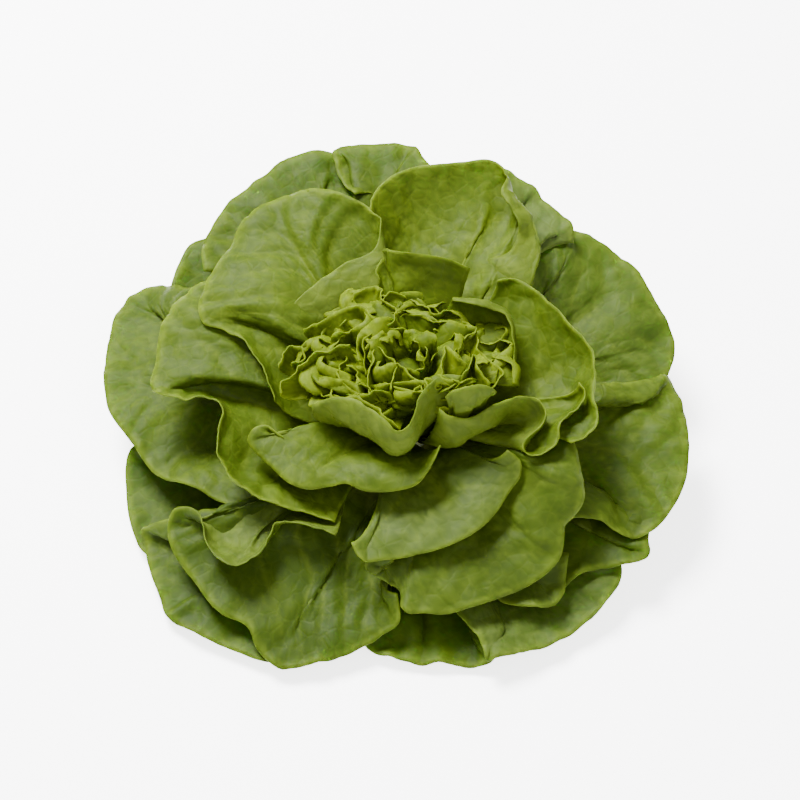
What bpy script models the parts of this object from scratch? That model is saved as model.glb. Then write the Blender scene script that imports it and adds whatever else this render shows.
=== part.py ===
"""A butterhead lettuce: a trimmed stem, loose outer and wrapper leaves, and a packed heart."""

import math
from dataclasses import dataclass, replace

import bmesh
import bpy
import numpy as np
from mathutils import Vector
from mathutils.bvhtree import BVHTree

# How the photograph looks at the head, used to turn a point of the picture into a point in space
VIEW_ELEVATION = math.radians(52.0)
VIEW_DISTANCE = 0.900
AIM = np.array([-0.0036, 0.0137, 0.030])
PIXEL_AT_AIM = 0.0004444
PICTURE_CENTRE = 400.0
MM = 0.001

# Leaf blades
BLADE = 0.0008
MIDRIB_EXTRA = 0.0010
MIDRIB_HALF_WIDTH = 0.16
AXIS_ABOVE = Vector((0.004, 0.004, 0.110))
STEPS_PER_COLUMN = 8
RIM_SMOOTHING = 24
TOWARD_RIM = 0.8
ROUGHNESS = 0.45
LEAF_COLOUR = (0.13, 0.25, 0.03)
HEART_COLOUR = (0.30, 0.40, 0.05)
STEM_COLOUR = (0.60, 0.65, 0.35)

# Stem and the places where leaves leave it
STEM_TOP = 0.0290
STEM_CHAMFER = 0.0010
STEM_SIDES = 32
STEM_GAP = 0.0008
ROOT_RADIUS = 0.0150
TAPER_START = 0.0120
TAPER = 0.35
FIRST_ROOT = 0.0045
ROOT_STEP = 0.0017
CLASP_SPARE = 6.0

# Room kept between blades
CLEARANCE = 0.0020
TABLE_CLEARANCE = 0.0012
CLEARING_PASSES = 70
SOFT_PASSES = 40
SAMPLES_PER_CELL = 4
DEEP_REACH = 0.014
DEEP_PASSES = 16
EDGE_NEARNESS = 0.00002
SMALL_MOVE = 0.00002
LOOSE_FROM = 0.25
KEPT_BEND = 0.85

# Heart
CORE_BOTTOM = 0.0296
CORE_TOP = 0.0660
CORE_RADIUS = 0.0250
CORE_END_RADIUS = 0.0060
CORE_LEAN = np.array([-0.002, 0.007])
CORE_RINGS = 9
CORE_SIDES = 20
CORE_SHRINK = 0.94
CORE_ROOM = 0.0035


@dataclass(frozen=True)
class Leaf:
    """One blade. Each rim point is (picture x, picture y, height in mm, lip angle, curl in mm)."""

    name: str
    azimuth: float
    rim: tuple
    clasp: float = 42.0
    rise: float = 20.0
    push: float = 0.35
    lip: float = 0.0
    curl: float = 0.33
    columns: int = 11
    rows: int = 8
    root_radius: float = 0.0
    root_centre: tuple = (0.0, 0.0)


LEAVES = (
    Leaf(
        "outer_leaf_01",
        190,
        (
            (185, 425, 20), (128, 456, 11), (126, 490, 7), (134, 535, 5), (143, 552, 5), (170, 562, 6),
            (205, 560, 8),
        ),
        rise=8,
    ),
    Leaf(
        "outer_leaf_02",
        148,
        (
            (240, 215, 47), (215, 232, 44), (190, 244, 41), (180, 262, 38), (172, 285, 35),
            (165, 312, 32), (162, 345, 30),
        ),
        rise=15,
        lip=10,
    ),
    Leaf(
        "outer_leaf_03",
        272,
        (
            (355, 630, 9), (372, 652, 6), (390, 658, 5), (408, 663, 4), (425, 667, 3), (436, 662, 6),
            (450, 665, 4), (470, 667, 4), (490, 664, 5), (505, 640, 9),
        ),
        rise=8,
    ),
    Leaf(
        "outer_leaf_04",
        305,
        (
            (450, 612, 15), (480, 652, 7), (486, 667, 5), (505, 663, 5), (530, 656, 5), (555, 646, 6),
            (575, 633, 7), (595, 617, 9), (610, 600, 11), (619, 586, 13), (622, 570, 15),
            (612, 545, 18),
        ),
        rise=10,
    ),
    Leaf(
        "outer_leaf_05",
        222,
        (
            (240, 506, 24), (200, 513, 18), (165, 520, 14), (141, 531, 9), (145, 547, 6), (150, 570, 5),
            (160, 597, 5), (167, 617, 5), (190, 632, 5), (215, 644, 5), (240, 654, 5), (262, 662, 5),
            (300, 660, 6), (330, 645, 8),
        ),
        rise=12,
        lip=-5,
    ),
    Leaf(
        "outer_leaf_06",
        172,
        (
            (205, 300, 40), (185, 290, 37), (158, 290, 31), (130, 302, 27), (113, 335, 26),
            (103, 382, 27), (106, 413, 25), (130, 450, 22), (150, 477, 20), (192, 492, 24),
            (236, 508, 28), (268, 506, 30),
        ),
        rise=20,
        lip=-10,
    ),
    Leaf(
        "outer_leaf_07",
        122,
        (
            (360, 195, 60), (340, 160, 62), (325, 155, 62), (305, 158, 61), (285, 164, 60),
            (265, 177, 58), (245, 192, 56), (228, 205, 54), (213, 224, 52), (203, 240, 51),
            (198, 258, 51), (200, 276, 51),
        ),
        rise=25,
        lip=5,
    ),
    Leaf(
        "outer_leaf_08",
        38,
        (
            (600, 430, 24), (660, 388, 28), (671, 368, 32), (675, 345, 35), (669, 326, 37),
            (659, 307, 40), (648, 290, 42), (638, 274, 44), (630, 265, 46), (615, 252, 48),
            (600, 242, 50), (582, 233, 52), (567, 228, 54), (545, 235, 55), (500, 275, 55),
        ),
        rise=22,
    ),
    Leaf(
        "outer_leaf_09",
        95,
        (
            (475, 185, 62), (440, 172, 65), (428, 165, 66), (415, 150, 66), (398, 147, 66),
            (378, 146, 66), (358, 148, 65), (340, 149, 64), (330, 155, 63), (332, 170, 62),
            (338, 184, 61), (352, 202, 60),
        ),
        rise=30,
        lip=10,
    ),
    Leaf(
        "outer_leaf_10",
        330,
        (
            (530, 605, 14), (563, 590, 14), (582, 577, 16), (600, 571, 17), (625, 568, 18),
            (645, 562, 19), (650, 554, 20), (648, 543, 21), (650, 525, 23), (640, 500, 25),
        ),
        rise=15,
    ),
    Leaf(
        "outer_leaf_11",
        0,
        (
            (562, 520, 34), (603, 523, 30), (620, 536, 25), (637, 541, 22), (650, 536, 22),
            (670, 514, 25), (685, 482, 28), (688, 452, 30), (684, 417, 32), (675, 390, 34),
            (667, 378, 36), (648, 380, 38), (600, 385, 44),
        ),
        rise=28,
        lip=-5,
    ),
    Leaf(
        "outer_leaf_12",
        312,
        (
            (485, 585, 20), (503, 602, 17), (520, 608, 16), (540, 611, 15), (555, 607, 15),
            (563, 598, 16), (566, 580, 18), (570, 555, 22),
        ),
        rise=20,
        lip=10,
    ),
    Leaf(
        "outer_leaf_13",
        240,
        (
            (335, 535, 40, 120, 12), (300, 521, 40, 110, 14), (273, 519, 38, 90, 16),
            (255, 556, 34, 130, 20), (235, 567, 32, 140, 20), (212, 552, 30, 120, 18),
            (200, 526, 28, 60, 18), (180, 530, 22, 30, 20), (173, 550, 16, 0, 25), (180, 585, 10),
            (200, 609, 8), (225, 632, 8), (250, 639, 8), (258, 655, 6), (280, 672, 5), (310, 668, 6),
            (345, 661, 7), (378, 650, 9), (400, 640, 12), (424, 627, 16), (425, 600, 20),
        ),
        rise=20,
        lip=-5,
        clasp=50,
        columns=18,
    ),
    Leaf(
        "outer_leaf_14",
        295,
        (
            (385, 550, 34, 30), (362, 560, 32, 30), (353, 573, 29, 10), (356, 587, 26, 0),
            (368, 599, 23, -10), (385, 608, 20, -20), (400, 620, 18, -20), (410, 625, 18, -20),
            (430, 623, 19, -20), (455, 620, 20, -20), (480, 610, 21, -20), (505, 598, 22, -20),
            (530, 586, 24, -20), (550, 571, 27, -20), (560, 558, 30, -20), (563, 540, 34, -20),
            (565, 525, 38, -30), (574, 516, 42, -40), (583, 503, 46, -40), (585, 488, 49, -40),
            (582, 470, 52, -30), (577, 450, 54, -10), (568, 430, 56, 20),
        ),
        rise=35,
        clasp=55,
        columns=16,
    ),
    Leaf(
        "outer_leaf_15",
        60,
        (
            (570, 250, 50), (568, 229, 56), (560, 220, 58), (553, 211, 60), (543, 200, 62),
            (538, 192, 63), (530, 185, 65), (520, 178, 67), (510, 170, 69), (500, 167, 70),
        ),
        rise=35,
    ),
    Leaf(
        "wrapper_leaf_01",
        172,
        (
            (240, 268, 66, 30), (215, 278, 64, 10), (198, 286, 62, 0), (180, 302, 60, -10),
            (166, 320, 58, -10), (158, 340, 56, -10), (155, 362, 54, -10), (149, 380, 53, -10),
            (155, 395, 52, 0), (175, 398, 53, 20), (200, 398, 54, 50), (215, 405, 55, 70),
            (219, 425, 55, 80), (219, 447, 54, 80), (225, 466, 50, 60), (238, 485, 47, 50),
            (255, 498, 44, 40), (280, 509, 41, 30), (305, 517, 38, 30), (335, 523, 36, 30),
        ),
        rise=40,
        clasp=55,
        columns=16,
    ),
    Leaf(
        "wrapper_leaf_02",
        75,
        (
            (485, 263, 60, 150, 25), (512, 252, 66, 155, 35), (521, 232, 72, 160, 38),
            (514, 211, 77, 160, 38), (501, 193, 79, 150, 32), (506, 175, 79, 110, 25),
            (488, 160, 79, 70, 25), (455, 162, 80, 60, 30), (425, 164, 81, 60, 30),
            (395, 172, 82, 60, 30), (378, 187, 82, 60, 30), (367, 210, 80, 60, 30),
            (380, 235, 76, 80, 30),
        ),
        rise=40,
        clasp=50,
        columns=13,
    ),
    Leaf(
        "wrapper_leaf_03",
        142,
        (
            (285, 330, 58, 170, 8), (290, 308, 66, 175, 10), (315, 282, 71, 180, 12),
            (345, 262, 75, 180, 13), (374, 246, 78, 170, 12), (376, 230, 80, 120, 14),
            (365, 212, 81, 70, 18), (345, 198, 82, 45, 25), (315, 192, 80, 20, 30),
            (285, 197, 77, 0, 30), (260, 209, 74, -5, 30), (240, 228, 71, -10, 30),
            (225, 255, 68, -15, 30), (207, 287, 64, -20, 30), (198, 312, 61, -20, 30),
            (203, 330, 59, -10, 25), (222, 336, 58, 20, 22), (238, 350, 58, 50, 20),
            (250, 370, 57, 70, 20), (260, 392, 56, 80, 20), (265, 420, 52, 80, 20),
        ),
        rise=55,
        clasp=46,
        columns=18,
    ),
    Leaf(
        "wrapper_leaf_04",
        285,
        (
            (350, 545, 38, 10), (362, 561, 36, 0), (385, 560, 35, -10), (410, 556, 35, -20),
            (435, 551, 36, -20), (460, 542, 37, -20), (480, 530, 39, -20), (497, 512, 42, -20),
            (510, 492, 45, -20), (521, 476, 48, -20), (521, 463, 51, 0), (508, 450, 54, 30),
        ),
        rise=50,
        curl=0.25,
    ),
    Leaf(
        "wrapper_leaf_05",
        12,
        (
            (575, 462, 48, 60), (590, 447, 55, 60), (599, 425, 60, 65), (600, 400, 64, 70),
            (598, 372, 68, 75), (590, 348, 71, 75), (577, 330, 73, 75), (563, 314, 75, 70),
            (545, 296, 76, 60), (530, 285, 76, 60), (517, 279, 76, 70), (500, 280, 74, 80),
        ),
        rise=50,
        push=0.45,
        clasp=55,
        curl=0.3,
    ),
    Leaf(
        "wrapper_leaf_06",
        95,
        (
            (480, 266, 64, 60), (462, 250, 70, 60), (440, 243, 73, 60), (420, 243, 74, 60),
            (400, 251, 74, 50), (384, 261, 73, 50), (374, 271, 71, 60), (372, 281, 69, 90),
        ),
        rise=55,
        push=0.45,
        curl=0.3,
    ),
    Leaf(
        "wrapper_leaf_07",
        228,
        (
            (285, 435, 52, 60, 12), (263, 425, 54, 30, 12), (253, 430, 53, 0, 14),
            (248, 440, 51, -20, 16), (256, 453, 49, -30, 16), (272, 468, 48, -30, 16),
            (290, 484, 47, -30, 16), (310, 490, 47, -30, 16), (330, 486, 48, -25, 16),
            (345, 484, 49, -20, 16), (362, 490, 49, -25, 16), (382, 492, 49, -30, 16),
            (402, 490, 50, -25, 16), (418, 484, 52, -10, 16), (428, 472, 55, 20, 16),
            (436, 457, 59, 50, 16), (442, 446, 62, 70, 16),
        ),
        rise=45,
        push=0.4,
        clasp=55,
        columns=16,
    ),
    Leaf(
        "wrapper_leaf_08",
        322,
        (
            (440, 408, 72, 115, 22), (448, 415, 71, 115, 22), (460, 418, 70, 115, 24),
            (476, 414, 70, 115, 24), (490, 407, 71, 115, 24), (503, 401, 71, 110, 24),
            (520, 398, 70, 100, 22), (534, 401, 69, 90, 20), (543, 413, 67, 80, 18),
            (539, 426, 65, 80, 16), (530, 437, 62, 70, 16), (524, 447, 60, 60, 16),
            (529, 455, 58, 50, 16), (542, 457, 58, 45, 16), (555, 452, 59, 45, 16),
            (563, 438, 61, 60, 18), (568, 424, 63, 80, 20), (579, 412, 65, 90, 22),
            (588, 402, 67, 90, 22), (588, 391, 69, 90, 22), (580, 384, 70, 90, 22),
        ),
        rise=45,
        push=0.4,
        clasp=48,
        columns=18,
    ),
    Leaf(
        "wrapper_leaf_09",
        45,
        (
            (520, 370, 64, 100, 16), (515, 345, 70, 120, 16), (510, 326, 74, 150, 14),
            (502, 313, 76, 170, 14), (490, 309, 78, 190, 14), (470, 304, 79, 190, 14),
            (452, 300, 78, 190, 12),
        ),
        rise=55,
        push=0.5,
        clasp=34,
    ),
    Leaf(
        "wrapper_leaf_10",
        325,
        (
            (441, 404, 79, 110, 22), (449, 394, 82, 115, 22), (462, 389, 84, 120, 22),
            (480, 386, 84, 120, 22), (494, 391, 83, 115, 22), (502, 400, 79, 110, 22),
        ),
        rise=60,
        push=0.4,
        clasp=34,
    ),
    Leaf(
        "wrapper_leaf_11",
        258,
        (
            (312, 405, 64, 110, 22), (330, 398, 72, 115, 24), (350, 400, 75, 120, 24),
            (368, 408, 76, 120, 24), (385, 420, 75, 115, 24), (400, 431, 73, 110, 24),
            (409, 426, 75, 110, 24), (417, 411, 78, 110, 24), (421, 398, 80, 115, 24),
            (430, 388, 81, 120, 24), (447, 381, 81, 120, 24), (470, 378, 80, 120, 24),
        ),
        rise=50,
        push=0.4,
        clasp=46,
        columns=13,
    ),
)

# The larger blades of the heart, seen in the photograph
HEART_BLADES = (
    Leaf(
        "heart_01",
        130,
        (
            (394, 312, 75, 90), (386, 322, 75, 90), (378, 320, 75, 80), (371, 311, 75, 70),
            (362, 304, 74, 60), (348, 307, 73, 60), (332, 315, 72, 70), (318, 321, 70, 80),
            (303, 326, 68, 90),
        ),
        columns=8,
        curl=0.3,
    ),
    Leaf(
        "heart_02",
        110,
        (
            (396, 314, 74, 90), (386, 298, 73, 80), (374, 285, 72, 80), (362, 288, 71, 90),
            (350, 300, 70, 90),
        ),
        columns=6,
    ),
    Leaf(
        "heart_03",
        230,
        (
            (278, 392, 63, 70), (282, 381, 66, 70), (290, 375, 68, 70), (300, 367, 70, 80),
            (312, 356, 72, 80), (330, 347, 73, 80), (350, 346, 73, 90),
        ),
        columns=7,
    ),
    Leaf(
        "heart_04",
        170,
        (
            (283, 367, 64, 90), (285, 355, 66, 90), (291, 346, 67, 90), (301, 346, 68, 100),
            (301, 355, 67, 110), (291, 363, 66, 110),
        ),
        columns=7,
    ),
    Leaf(
        "heart_05",
        250,
        (
            (323, 402, 68, 110), (345, 397, 71, 110), (360, 400, 72, 110), (374, 408, 72, 110),
            (386, 419, 71, 110), (397, 430, 69, 100),
        ),
        columns=7,
    ),
    Leaf(
        "heart_06",
        235,
        (
            (372, 395, 72, 100), (373, 372, 74, 100), (380, 348, 75, 90), (391, 358, 75, 90),
            (396, 370, 75, 100), (395, 390, 73, 100),
        ),
        columns=6,
    ),
    Leaf(
        "heart_07",
        275,
        (
            (394, 364, 76, 90), (402, 367, 76, 100), (410, 378, 75, 110), (422, 385, 74, 110),
            (432, 384, 73, 110),
        ),
        columns=5,
    ),
    Leaf(
        "heart_08",
        320,
        (
            (464, 380, 76, 110), (468, 367, 78, 100), (473, 356, 79, 90), (481, 369, 78, 90),
            (488, 384, 76, 90),
        ),
        columns=5,
    ),
    Leaf(
        "heart_09",
        310,
        (
            (444, 378, 76, 110), (445, 358, 77, 100), (447, 338, 77, 90), (456, 346, 77, 90),
            (465, 360, 76, 90),
        ),
        columns=5,
    ),
    Leaf(
        "heart_10",
        215,
        (
            (306, 414, 68, 110), (322, 415, 69, 120), (331, 425, 68, 130), (322, 440, 64, 120),
        ),
        columns=5,
    ),
)
HEART_CENTRE = (-0.002, 0.006)
HEART_ROOT_CENTRE = (-0.001, 0.004)
HEART_ROOT_RADIUS = 0.006
HEART_ROOT_HEIGHT = 0.046
HEART_ROWS = 4
HEART_RISE = 55.0
HEART_CLASP = 35.0

# The smaller blades that fill the heart
FILL_BLADES = 11
FILL_SEED = 12
FILL_COLUMNS = 6
FILL_KNOTS = 6
GOLDEN_TURN = 137.5
FILL_ROOT_LIFT = 0.004
FILL_RISE = 60.0
FILL_PUSH = 0.4
INNERMOST = 0.004
FILL_SPREAD = 0.036
SPREAD_POWER = 0.62
INNER_HALF_TURN = 75.0
HALF_TURN_LOSS = 38.0
WIDER_ACROSS = 1.12
FRONT_LIMIT = -0.0165
FILL_TOP = 0.0745
DOME = 6.5
DIMPLE = 0.0015
DIMPLE_RADIUS = 0.008
END_DROP = 0.005
REACH_WAVE = 0.14
HEIGHT_WAVE = 0.0022
LIP = 100.0
LIP_WAVE = 35.0
FILL_CURL = 0.006
CURL_GROWTH = 0.1
INNER_ROOT = 0.002
ROOT_GROWTH = 0.45


# Geometry shared by every blade


def unit(vectors):
    """Vectors of length one."""
    return vectors / np.maximum(np.linalg.norm(vectors, axis=-1, keepdims=True), 1e-9)


def seen_at(picture_x, picture_y, height):
    """The points at these heights that the photograph shows at these picture positions."""
    back = np.array([0.0, -math.cos(VIEW_ELEVATION), math.sin(VIEW_ELEVATION)])
    right = np.array([1.0, 0.0, 0.0])
    up = np.cross(back, right)
    camera = AIM + back * VIEW_DISTANCE
    focal = VIEW_DISTANCE / PIXEL_AT_AIM
    across = (picture_x - PICTURE_CENTRE) / focal
    down = (picture_y - PICTURE_CENTRE) / focal
    ray = -back + np.multiply.outer(across, right) - np.multiply.outer(down, up)
    reach = (height - camera[2]) / ray[:, 2]
    return camera + ray * reach[:, None]


def along(knots, at, count):
    """Smooth curve through knots that stand at fractions `at`, as count rows."""
    slopes = np.gradient(knots, at, axis=0)
    t = np.linspace(0.0, 1.0, count)
    i = np.clip(np.searchsorted(at, t, "right") - 1, 0, len(at) - 2)
    gap = (at[i + 1] - at[i])[:, None]
    w = (t - at[i])[:, None] / gap
    start = knots[i] * (1 + 2 * w) * (1 - w) ** 2 + slopes[i] * gap * w * (1 - w) ** 2
    end = knots[i + 1] * w * w * (3 - 2 * w) + slopes[i + 1] * gap * w * w * (w - 1)
    return start + end


def smoothed(rows, times):
    """Rows averaged with their neighbours."""
    for _ in range(times):
        padded = np.concatenate([rows[:1], rows, rows[-1:]])
        rows = (padded[:-2] + 2 * padded[1:-1] + padded[2:]) / 4
    return rows


def stem_radius(height):
    """Distance from the stem's axis to the roots of the blades at this height."""
    return ROOT_RADIUS - TAPER * max(0.0, height - TAPER_START)


def root_line(leaf, root_height, fractions):
    """Where the blade leaves the stem, and the directions away from the stem there."""
    angle = np.radians(leaf.azimuth + (2 * fractions - 1) * leaf.clasp)
    outward = np.stack([np.cos(angle), np.sin(angle), np.zeros(len(angle))], 1)
    centre = np.array([*leaf.root_centre, root_height])
    radius = leaf.root_radius or stem_radius(root_height)
    return centre + radius * outward, outward


def picture_knots(leaf):
    """The rim in space: x, y, z, lip angle and curl of each knot, with curl below 0 where it isn't given."""
    given = [tuple(point) + (leaf.lip,) * (len(point) < 4) for point in leaf.rim]
    given = np.array([point + (-1,) * (5 - len(point)) for point in given], float)
    places = seen_at(given[:, 0], given[:, 1], given[:, 2] * MM)
    return np.concatenate([places, given[:, 3:]], 1)


def loft(leaf, knots, root_height, columns, rows):
    """Middle surface of a blade as (rows, columns, 3): from the stem out to the rim curve."""
    knots = knots.copy()
    step = np.linalg.norm(np.diff(knots[:, :3], axis=0), axis=1)
    at = np.concatenate([[0.0], np.cumsum(step)]) / step.sum()
    root_at_knots, _ = root_line(leaf, root_height, at)
    span = np.linalg.norm(knots[:, :3] - root_at_knots, axis=1)
    knots[:, 4] = np.where(knots[:, 4] < 0, span * leaf.curl, knots[:, 4] * MM)

    many = (columns - 1) * STEPS_PER_COLUMN + 1
    rim = along(knots, at, many)
    tangent = np.gradient(rim[:, :3], axis=0)
    away = np.stack([tangent[:, 1], -tangent[:, 0], np.zeros(many)], 1)
    away = unit(smoothed(unit(away), int((many / RIM_SMOOTHING) ** 2)))
    pick = np.linspace(0, many - 1, columns).round().astype(int)
    rim, away = rim[pick], away[pick]

    root, outward = root_line(leaf, root_height, np.linspace(0.0, 1.0, columns))
    end = rim[:, :3]
    length = np.linalg.norm(end - root, axis=1, keepdims=True)
    toward = unit((end - root) * np.array([1.0, 1.0, 0.0]))
    flat = unit(outward + TOWARD_RIM * toward)
    up = np.array([0.0, 0.0, 1.0])
    rise = math.radians(leaf.rise)
    lip = np.radians(rim[:, 3:4])
    first = root + leaf.push * length * (math.cos(rise) * flat + math.sin(rise) * up)
    last = end - rim[:, 4:5] * (np.cos(lip) * away + np.sin(lip) * up)
    v = np.linspace(0.0, 1.0, rows)[:, None, None]
    near = root * (1 - v) ** 3 + 3 * first * v * (1 - v) ** 2
    return near + 3 * last * v * v * (1 - v) + end * v**3


def facets(rows, columns):
    """Two triangles for each cell of a grid, facing the side a leaf turns to the heart."""
    index = np.arange(rows * columns).reshape(rows, columns)
    a, b = index[:-1, :-1].ravel(), index[1:, :-1].ravel()
    c, d = index[1:, 1:].ravel(), index[:-1, 1:].ravel()
    return np.concatenate([np.stack([a, b, d], 1), np.stack([b, c, d], 1)])


# Keeping blades clear of one another


@dataclass(frozen=True)
class Placed:
    """A blade that later ones have to clear."""

    tree: BVHTree
    corners: list
    low: np.ndarray
    high: np.ndarray


def as_placed(grid):
    """A blade's facets ready for nearest-point questions, with its bounds."""
    points = grid.reshape(-1, 3)
    tree = BVHTree.FromPolygons(points.tolist(), facets(*grid.shape[:2]).tolist())
    corners = [[Vector(point) for point in row] for row in grid.tolist()]
    return Placed(tree, corners, points.min(0), points.max(0))


def sample_weights(rows, columns):
    """For sample points spread over a grid's facets: the grid points they lie between, and their shares."""
    down = np.linspace(0.0, rows - 1, (rows - 1) * SAMPLES_PER_CELL + 1)
    over = np.linspace(0.0, columns - 1, (columns - 1) * SAMPLES_PER_CELL + 1)
    down, over = (grid.ravel() for grid in np.meshgrid(down, over, indexing="ij"))
    r = np.minimum(down.astype(int), rows - 2)
    c = np.minimum(over.astype(int), columns - 2)
    s, t = down - r, over - c
    first = r * columns + c
    corners = np.stack([first, first + columns, first + columns + 1, first + 1], 1)
    shares = np.where(
        (s + t <= 1.0)[:, None],
        np.stack([1 - s - t, s, 0 * s, t], 1),
        np.stack([0 * s, 1 - t, s + t - 1, 1 - s], 1),
    )
    return corners, shares


def on_edge(spot, face, corners):
    """Whether a spot of this facet lies on the outer edge of the blade."""
    rows, columns = len(corners) - 1, len(corners[0]) - 1
    r, c = divmod(face % (rows * columns), columns)
    edges = []
    if c == 0:
        edges.append((corners[r][0], corners[r + 1][0]))
    if c == columns - 1:
        edges.append((corners[r][-1], corners[r + 1][-1]))
    if r == rows - 1:
        edges.append((corners[-1][c], corners[-1][c + 1]))
    for start, end in edges:
        side = end - start
        share = min(max((spot - start).dot(side) / side.length_squared, 0.0), 1.0)
        if (spot - start - share * side).length < EDGE_NEARNESS:
            return True
    return False


def pushes(points, other, room, reach):
    """How far each point has to move to stand clear on the heart side of one placed blade."""
    moves = np.zeros_like(points)
    near = np.all((points > other.low - reach) & (points < other.high + reach), axis=1)
    for i in np.nonzero(near)[0]:
        point = Vector(points[i])
        spot, normal, face, distance = other.tree.find_nearest(point, reach)
        if spot is None:
            continue
        if on_edge(spot, face, other.corners):
            if SMALL_MOVE < distance < room:
                moves[i] = (point - spot) * ((room - distance) / distance)
            continue
        if normal.dot(AXIS_ABOVE - point) < 0:
            normal.negate()
        height = normal.dot(point - spot)
        if height < room:
            moves[i] = normal * (room - height)
    return moves


def softened(bend, loose):
    """The bend of a grid spread a little over neighbouring points, and none at the root."""
    padded = np.pad(bend, ((1, 1), (1, 1), (0, 0)), mode="edge")
    around = (padded[:-2, 1:-1] + padded[2:, 1:-1] + padded[1:-1, :-2] + padded[1:-1, 2:]) / 4
    return (KEPT_BEND * bend + (1 - KEPT_BEND) * around) * np.minimum(loose / LOOSE_FROM, 1.0)


def cleared(grid, placed, room=CLEARANCE):
    """The grid bent until its facets stand clear of the placed blades and of the table."""
    rows, columns = grid.shape[:2]
    corners, shares = sample_weights(rows, columns)
    loose = np.minimum(np.linspace(0.0, 1.0, rows)[:, None, None] / LOOSE_FROM, 1.0)
    start = grid.reshape(-1, 3)
    points = start.copy()
    for number in range(CLEARING_PASSES):
        reach = DEEP_REACH if number < DEEP_PASSES else 2 * room
        samples = (points[corners] * shares[:, :, None]).sum(1)
        moves = np.zeros_like(samples)
        for other in placed:
            one = pushes(samples, other, room, reach)
            bigger = np.linalg.norm(one, axis=1) > np.linalg.norm(moves, axis=1)
            moves[bigger] = one[bigger]
        low = samples[:, 2] + moves[:, 2] < TABLE_CLEARANCE
        moves[low, 2] = TABLE_CLEARANCE - samples[low, 2]
        size = np.linalg.norm(moves, axis=1)
        if size.max() < SMALL_MOVE:
            break
        total = np.zeros_like(points)
        share = np.zeros(len(points))
        for k in range(4):
            pull = shares[:, k] * size
            np.add.at(total, corners[:, k], moves * pull[:, None])
            np.add.at(share, corners[:, k], pull)
        step = (total / np.maximum(share, 1e-12)[:, None]).reshape(rows, columns, 3)
        points = points + (step * loose).reshape(-1, 3)
        if number < SOFT_PASSES:
            bend = (points - start).reshape(rows, columns, 3)
            points = start + softened(bend, loose).reshape(-1, 3)
    return points.reshape(rows, columns, 3)


# Bodies


def point_normals(grid):
    """Normal at each point of a grid: the mean of the facets round it."""
    points = grid.reshape(-1, 3)
    faces = facets(*grid.shape[:2])
    first, second, third = (points[faces[:, k]] for k in range(3))
    normal = unit(np.cross(second - first, third - first))
    total = np.zeros_like(points)
    for k in range(3):
        np.add.at(total, faces[:, k], normal)
    return unit(total).reshape(grid.shape)


def blade_mesh(grid):
    """Closed body of a blade: its two faces, cut into triangles alike, and the strip round its edge."""
    rows, columns = grid.shape[:2]
    normal = point_normals(grid)
    across = np.linspace(-1.0, 1.0, columns)[None, :, None]
    along_rib = np.linspace(1.0, 0.0, rows)[:, None, None]
    swell = 4 * along_rib**2 * (1 - along_rib)
    rib = MIDRIB_EXTRA * np.exp(-((across / MIDRIB_HALF_WIDTH) ** 2)) * swell
    inner = grid + normal * BLADE / 2
    outer = grid - normal * (BLADE / 2 + rib)
    count = rows * columns
    top = facets(rows, columns)
    index = np.arange(count).reshape(rows, columns)
    ring = np.concatenate([index[0, :], index[1:, -1], index[-1, -2::-1], index[-2:0:-1, 0]])
    after = np.roll(ring, -1)
    near_half = np.stack([ring, after, after + count], 1)
    far_half = np.stack([ring, after + count, ring + count], 1)
    faces = np.concatenate([top, top[:, ::-1] + count, near_half, far_half])
    return np.concatenate([inner.reshape(-1, 3), outer.reshape(-1, 3)]), faces


def add_object(name, points, faces, slot_material):
    """An object in the scene from points and faces."""
    mesh = bpy.data.meshes.new(name)
    mesh.from_pydata(points.tolist(), [], [list(map(int, face)) for face in faces])
    mesh.polygons.foreach_set("use_smooth", np.ones(len(mesh.polygons), bool))
    mesh.materials.append(slot_material)
    mesh.update()
    made = bpy.data.objects.new(name, mesh)
    bpy.context.scene.collection.objects.link(made)
    return made


def leaf_material(name, colour):
    """A plain leaf finish."""
    made = bpy.data.materials.new(name)
    made.use_nodes = True
    shader = made.node_tree.nodes["Principled BSDF"]
    shader.inputs["Base Color"].default_value = (*colour, 1.0)
    shader.inputs["Roughness"].default_value = ROUGHNESS
    return made


def skinned(rings, name, slot_material):
    """A closed body over rings of equal counts, given from the lowest to the highest."""
    levels, sides = rings.shape[:2]
    faces = []
    for level in range(levels - 1):
        for side in range(sides):
            a, b = level * sides + side, level * sides + (side + 1) % sides
            faces.append((a, b, b + sides, a + sides))
    faces.append(tuple(range(sides - 1, -1, -1)))
    top = (levels - 1) * sides
    faces.append(tuple(range(top, top + sides)))
    return add_object(name, rings.reshape(-1, 3), faces, slot_material)


def circle(radius, height, centre, sides):
    """A level ring of points."""
    angle = np.linspace(0.0, 2 * math.pi, sides, endpoint=False)
    across = centre[0] + radius * np.cos(angle)
    return np.stack([across, centre[1] + radius * np.sin(angle), np.full(sides, height)], 1)


def stands_clear(point, placed):
    """Whether a point is on the heart side of every placed blade, with room to spare."""
    for other in placed:
        spot, normal, face, distance = other.tree.find_nearest(point, DEEP_REACH)
        if spot is None:
            continue
        if on_edge(spot, face, other.corners):
            if distance < CORE_ROOM:
                return False
            continue
        if normal.dot(AXIS_ABOVE - point) < 0:
            normal.negate()
        if normal.dot(point - spot) < CORE_ROOM:
            return False
    return True


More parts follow.
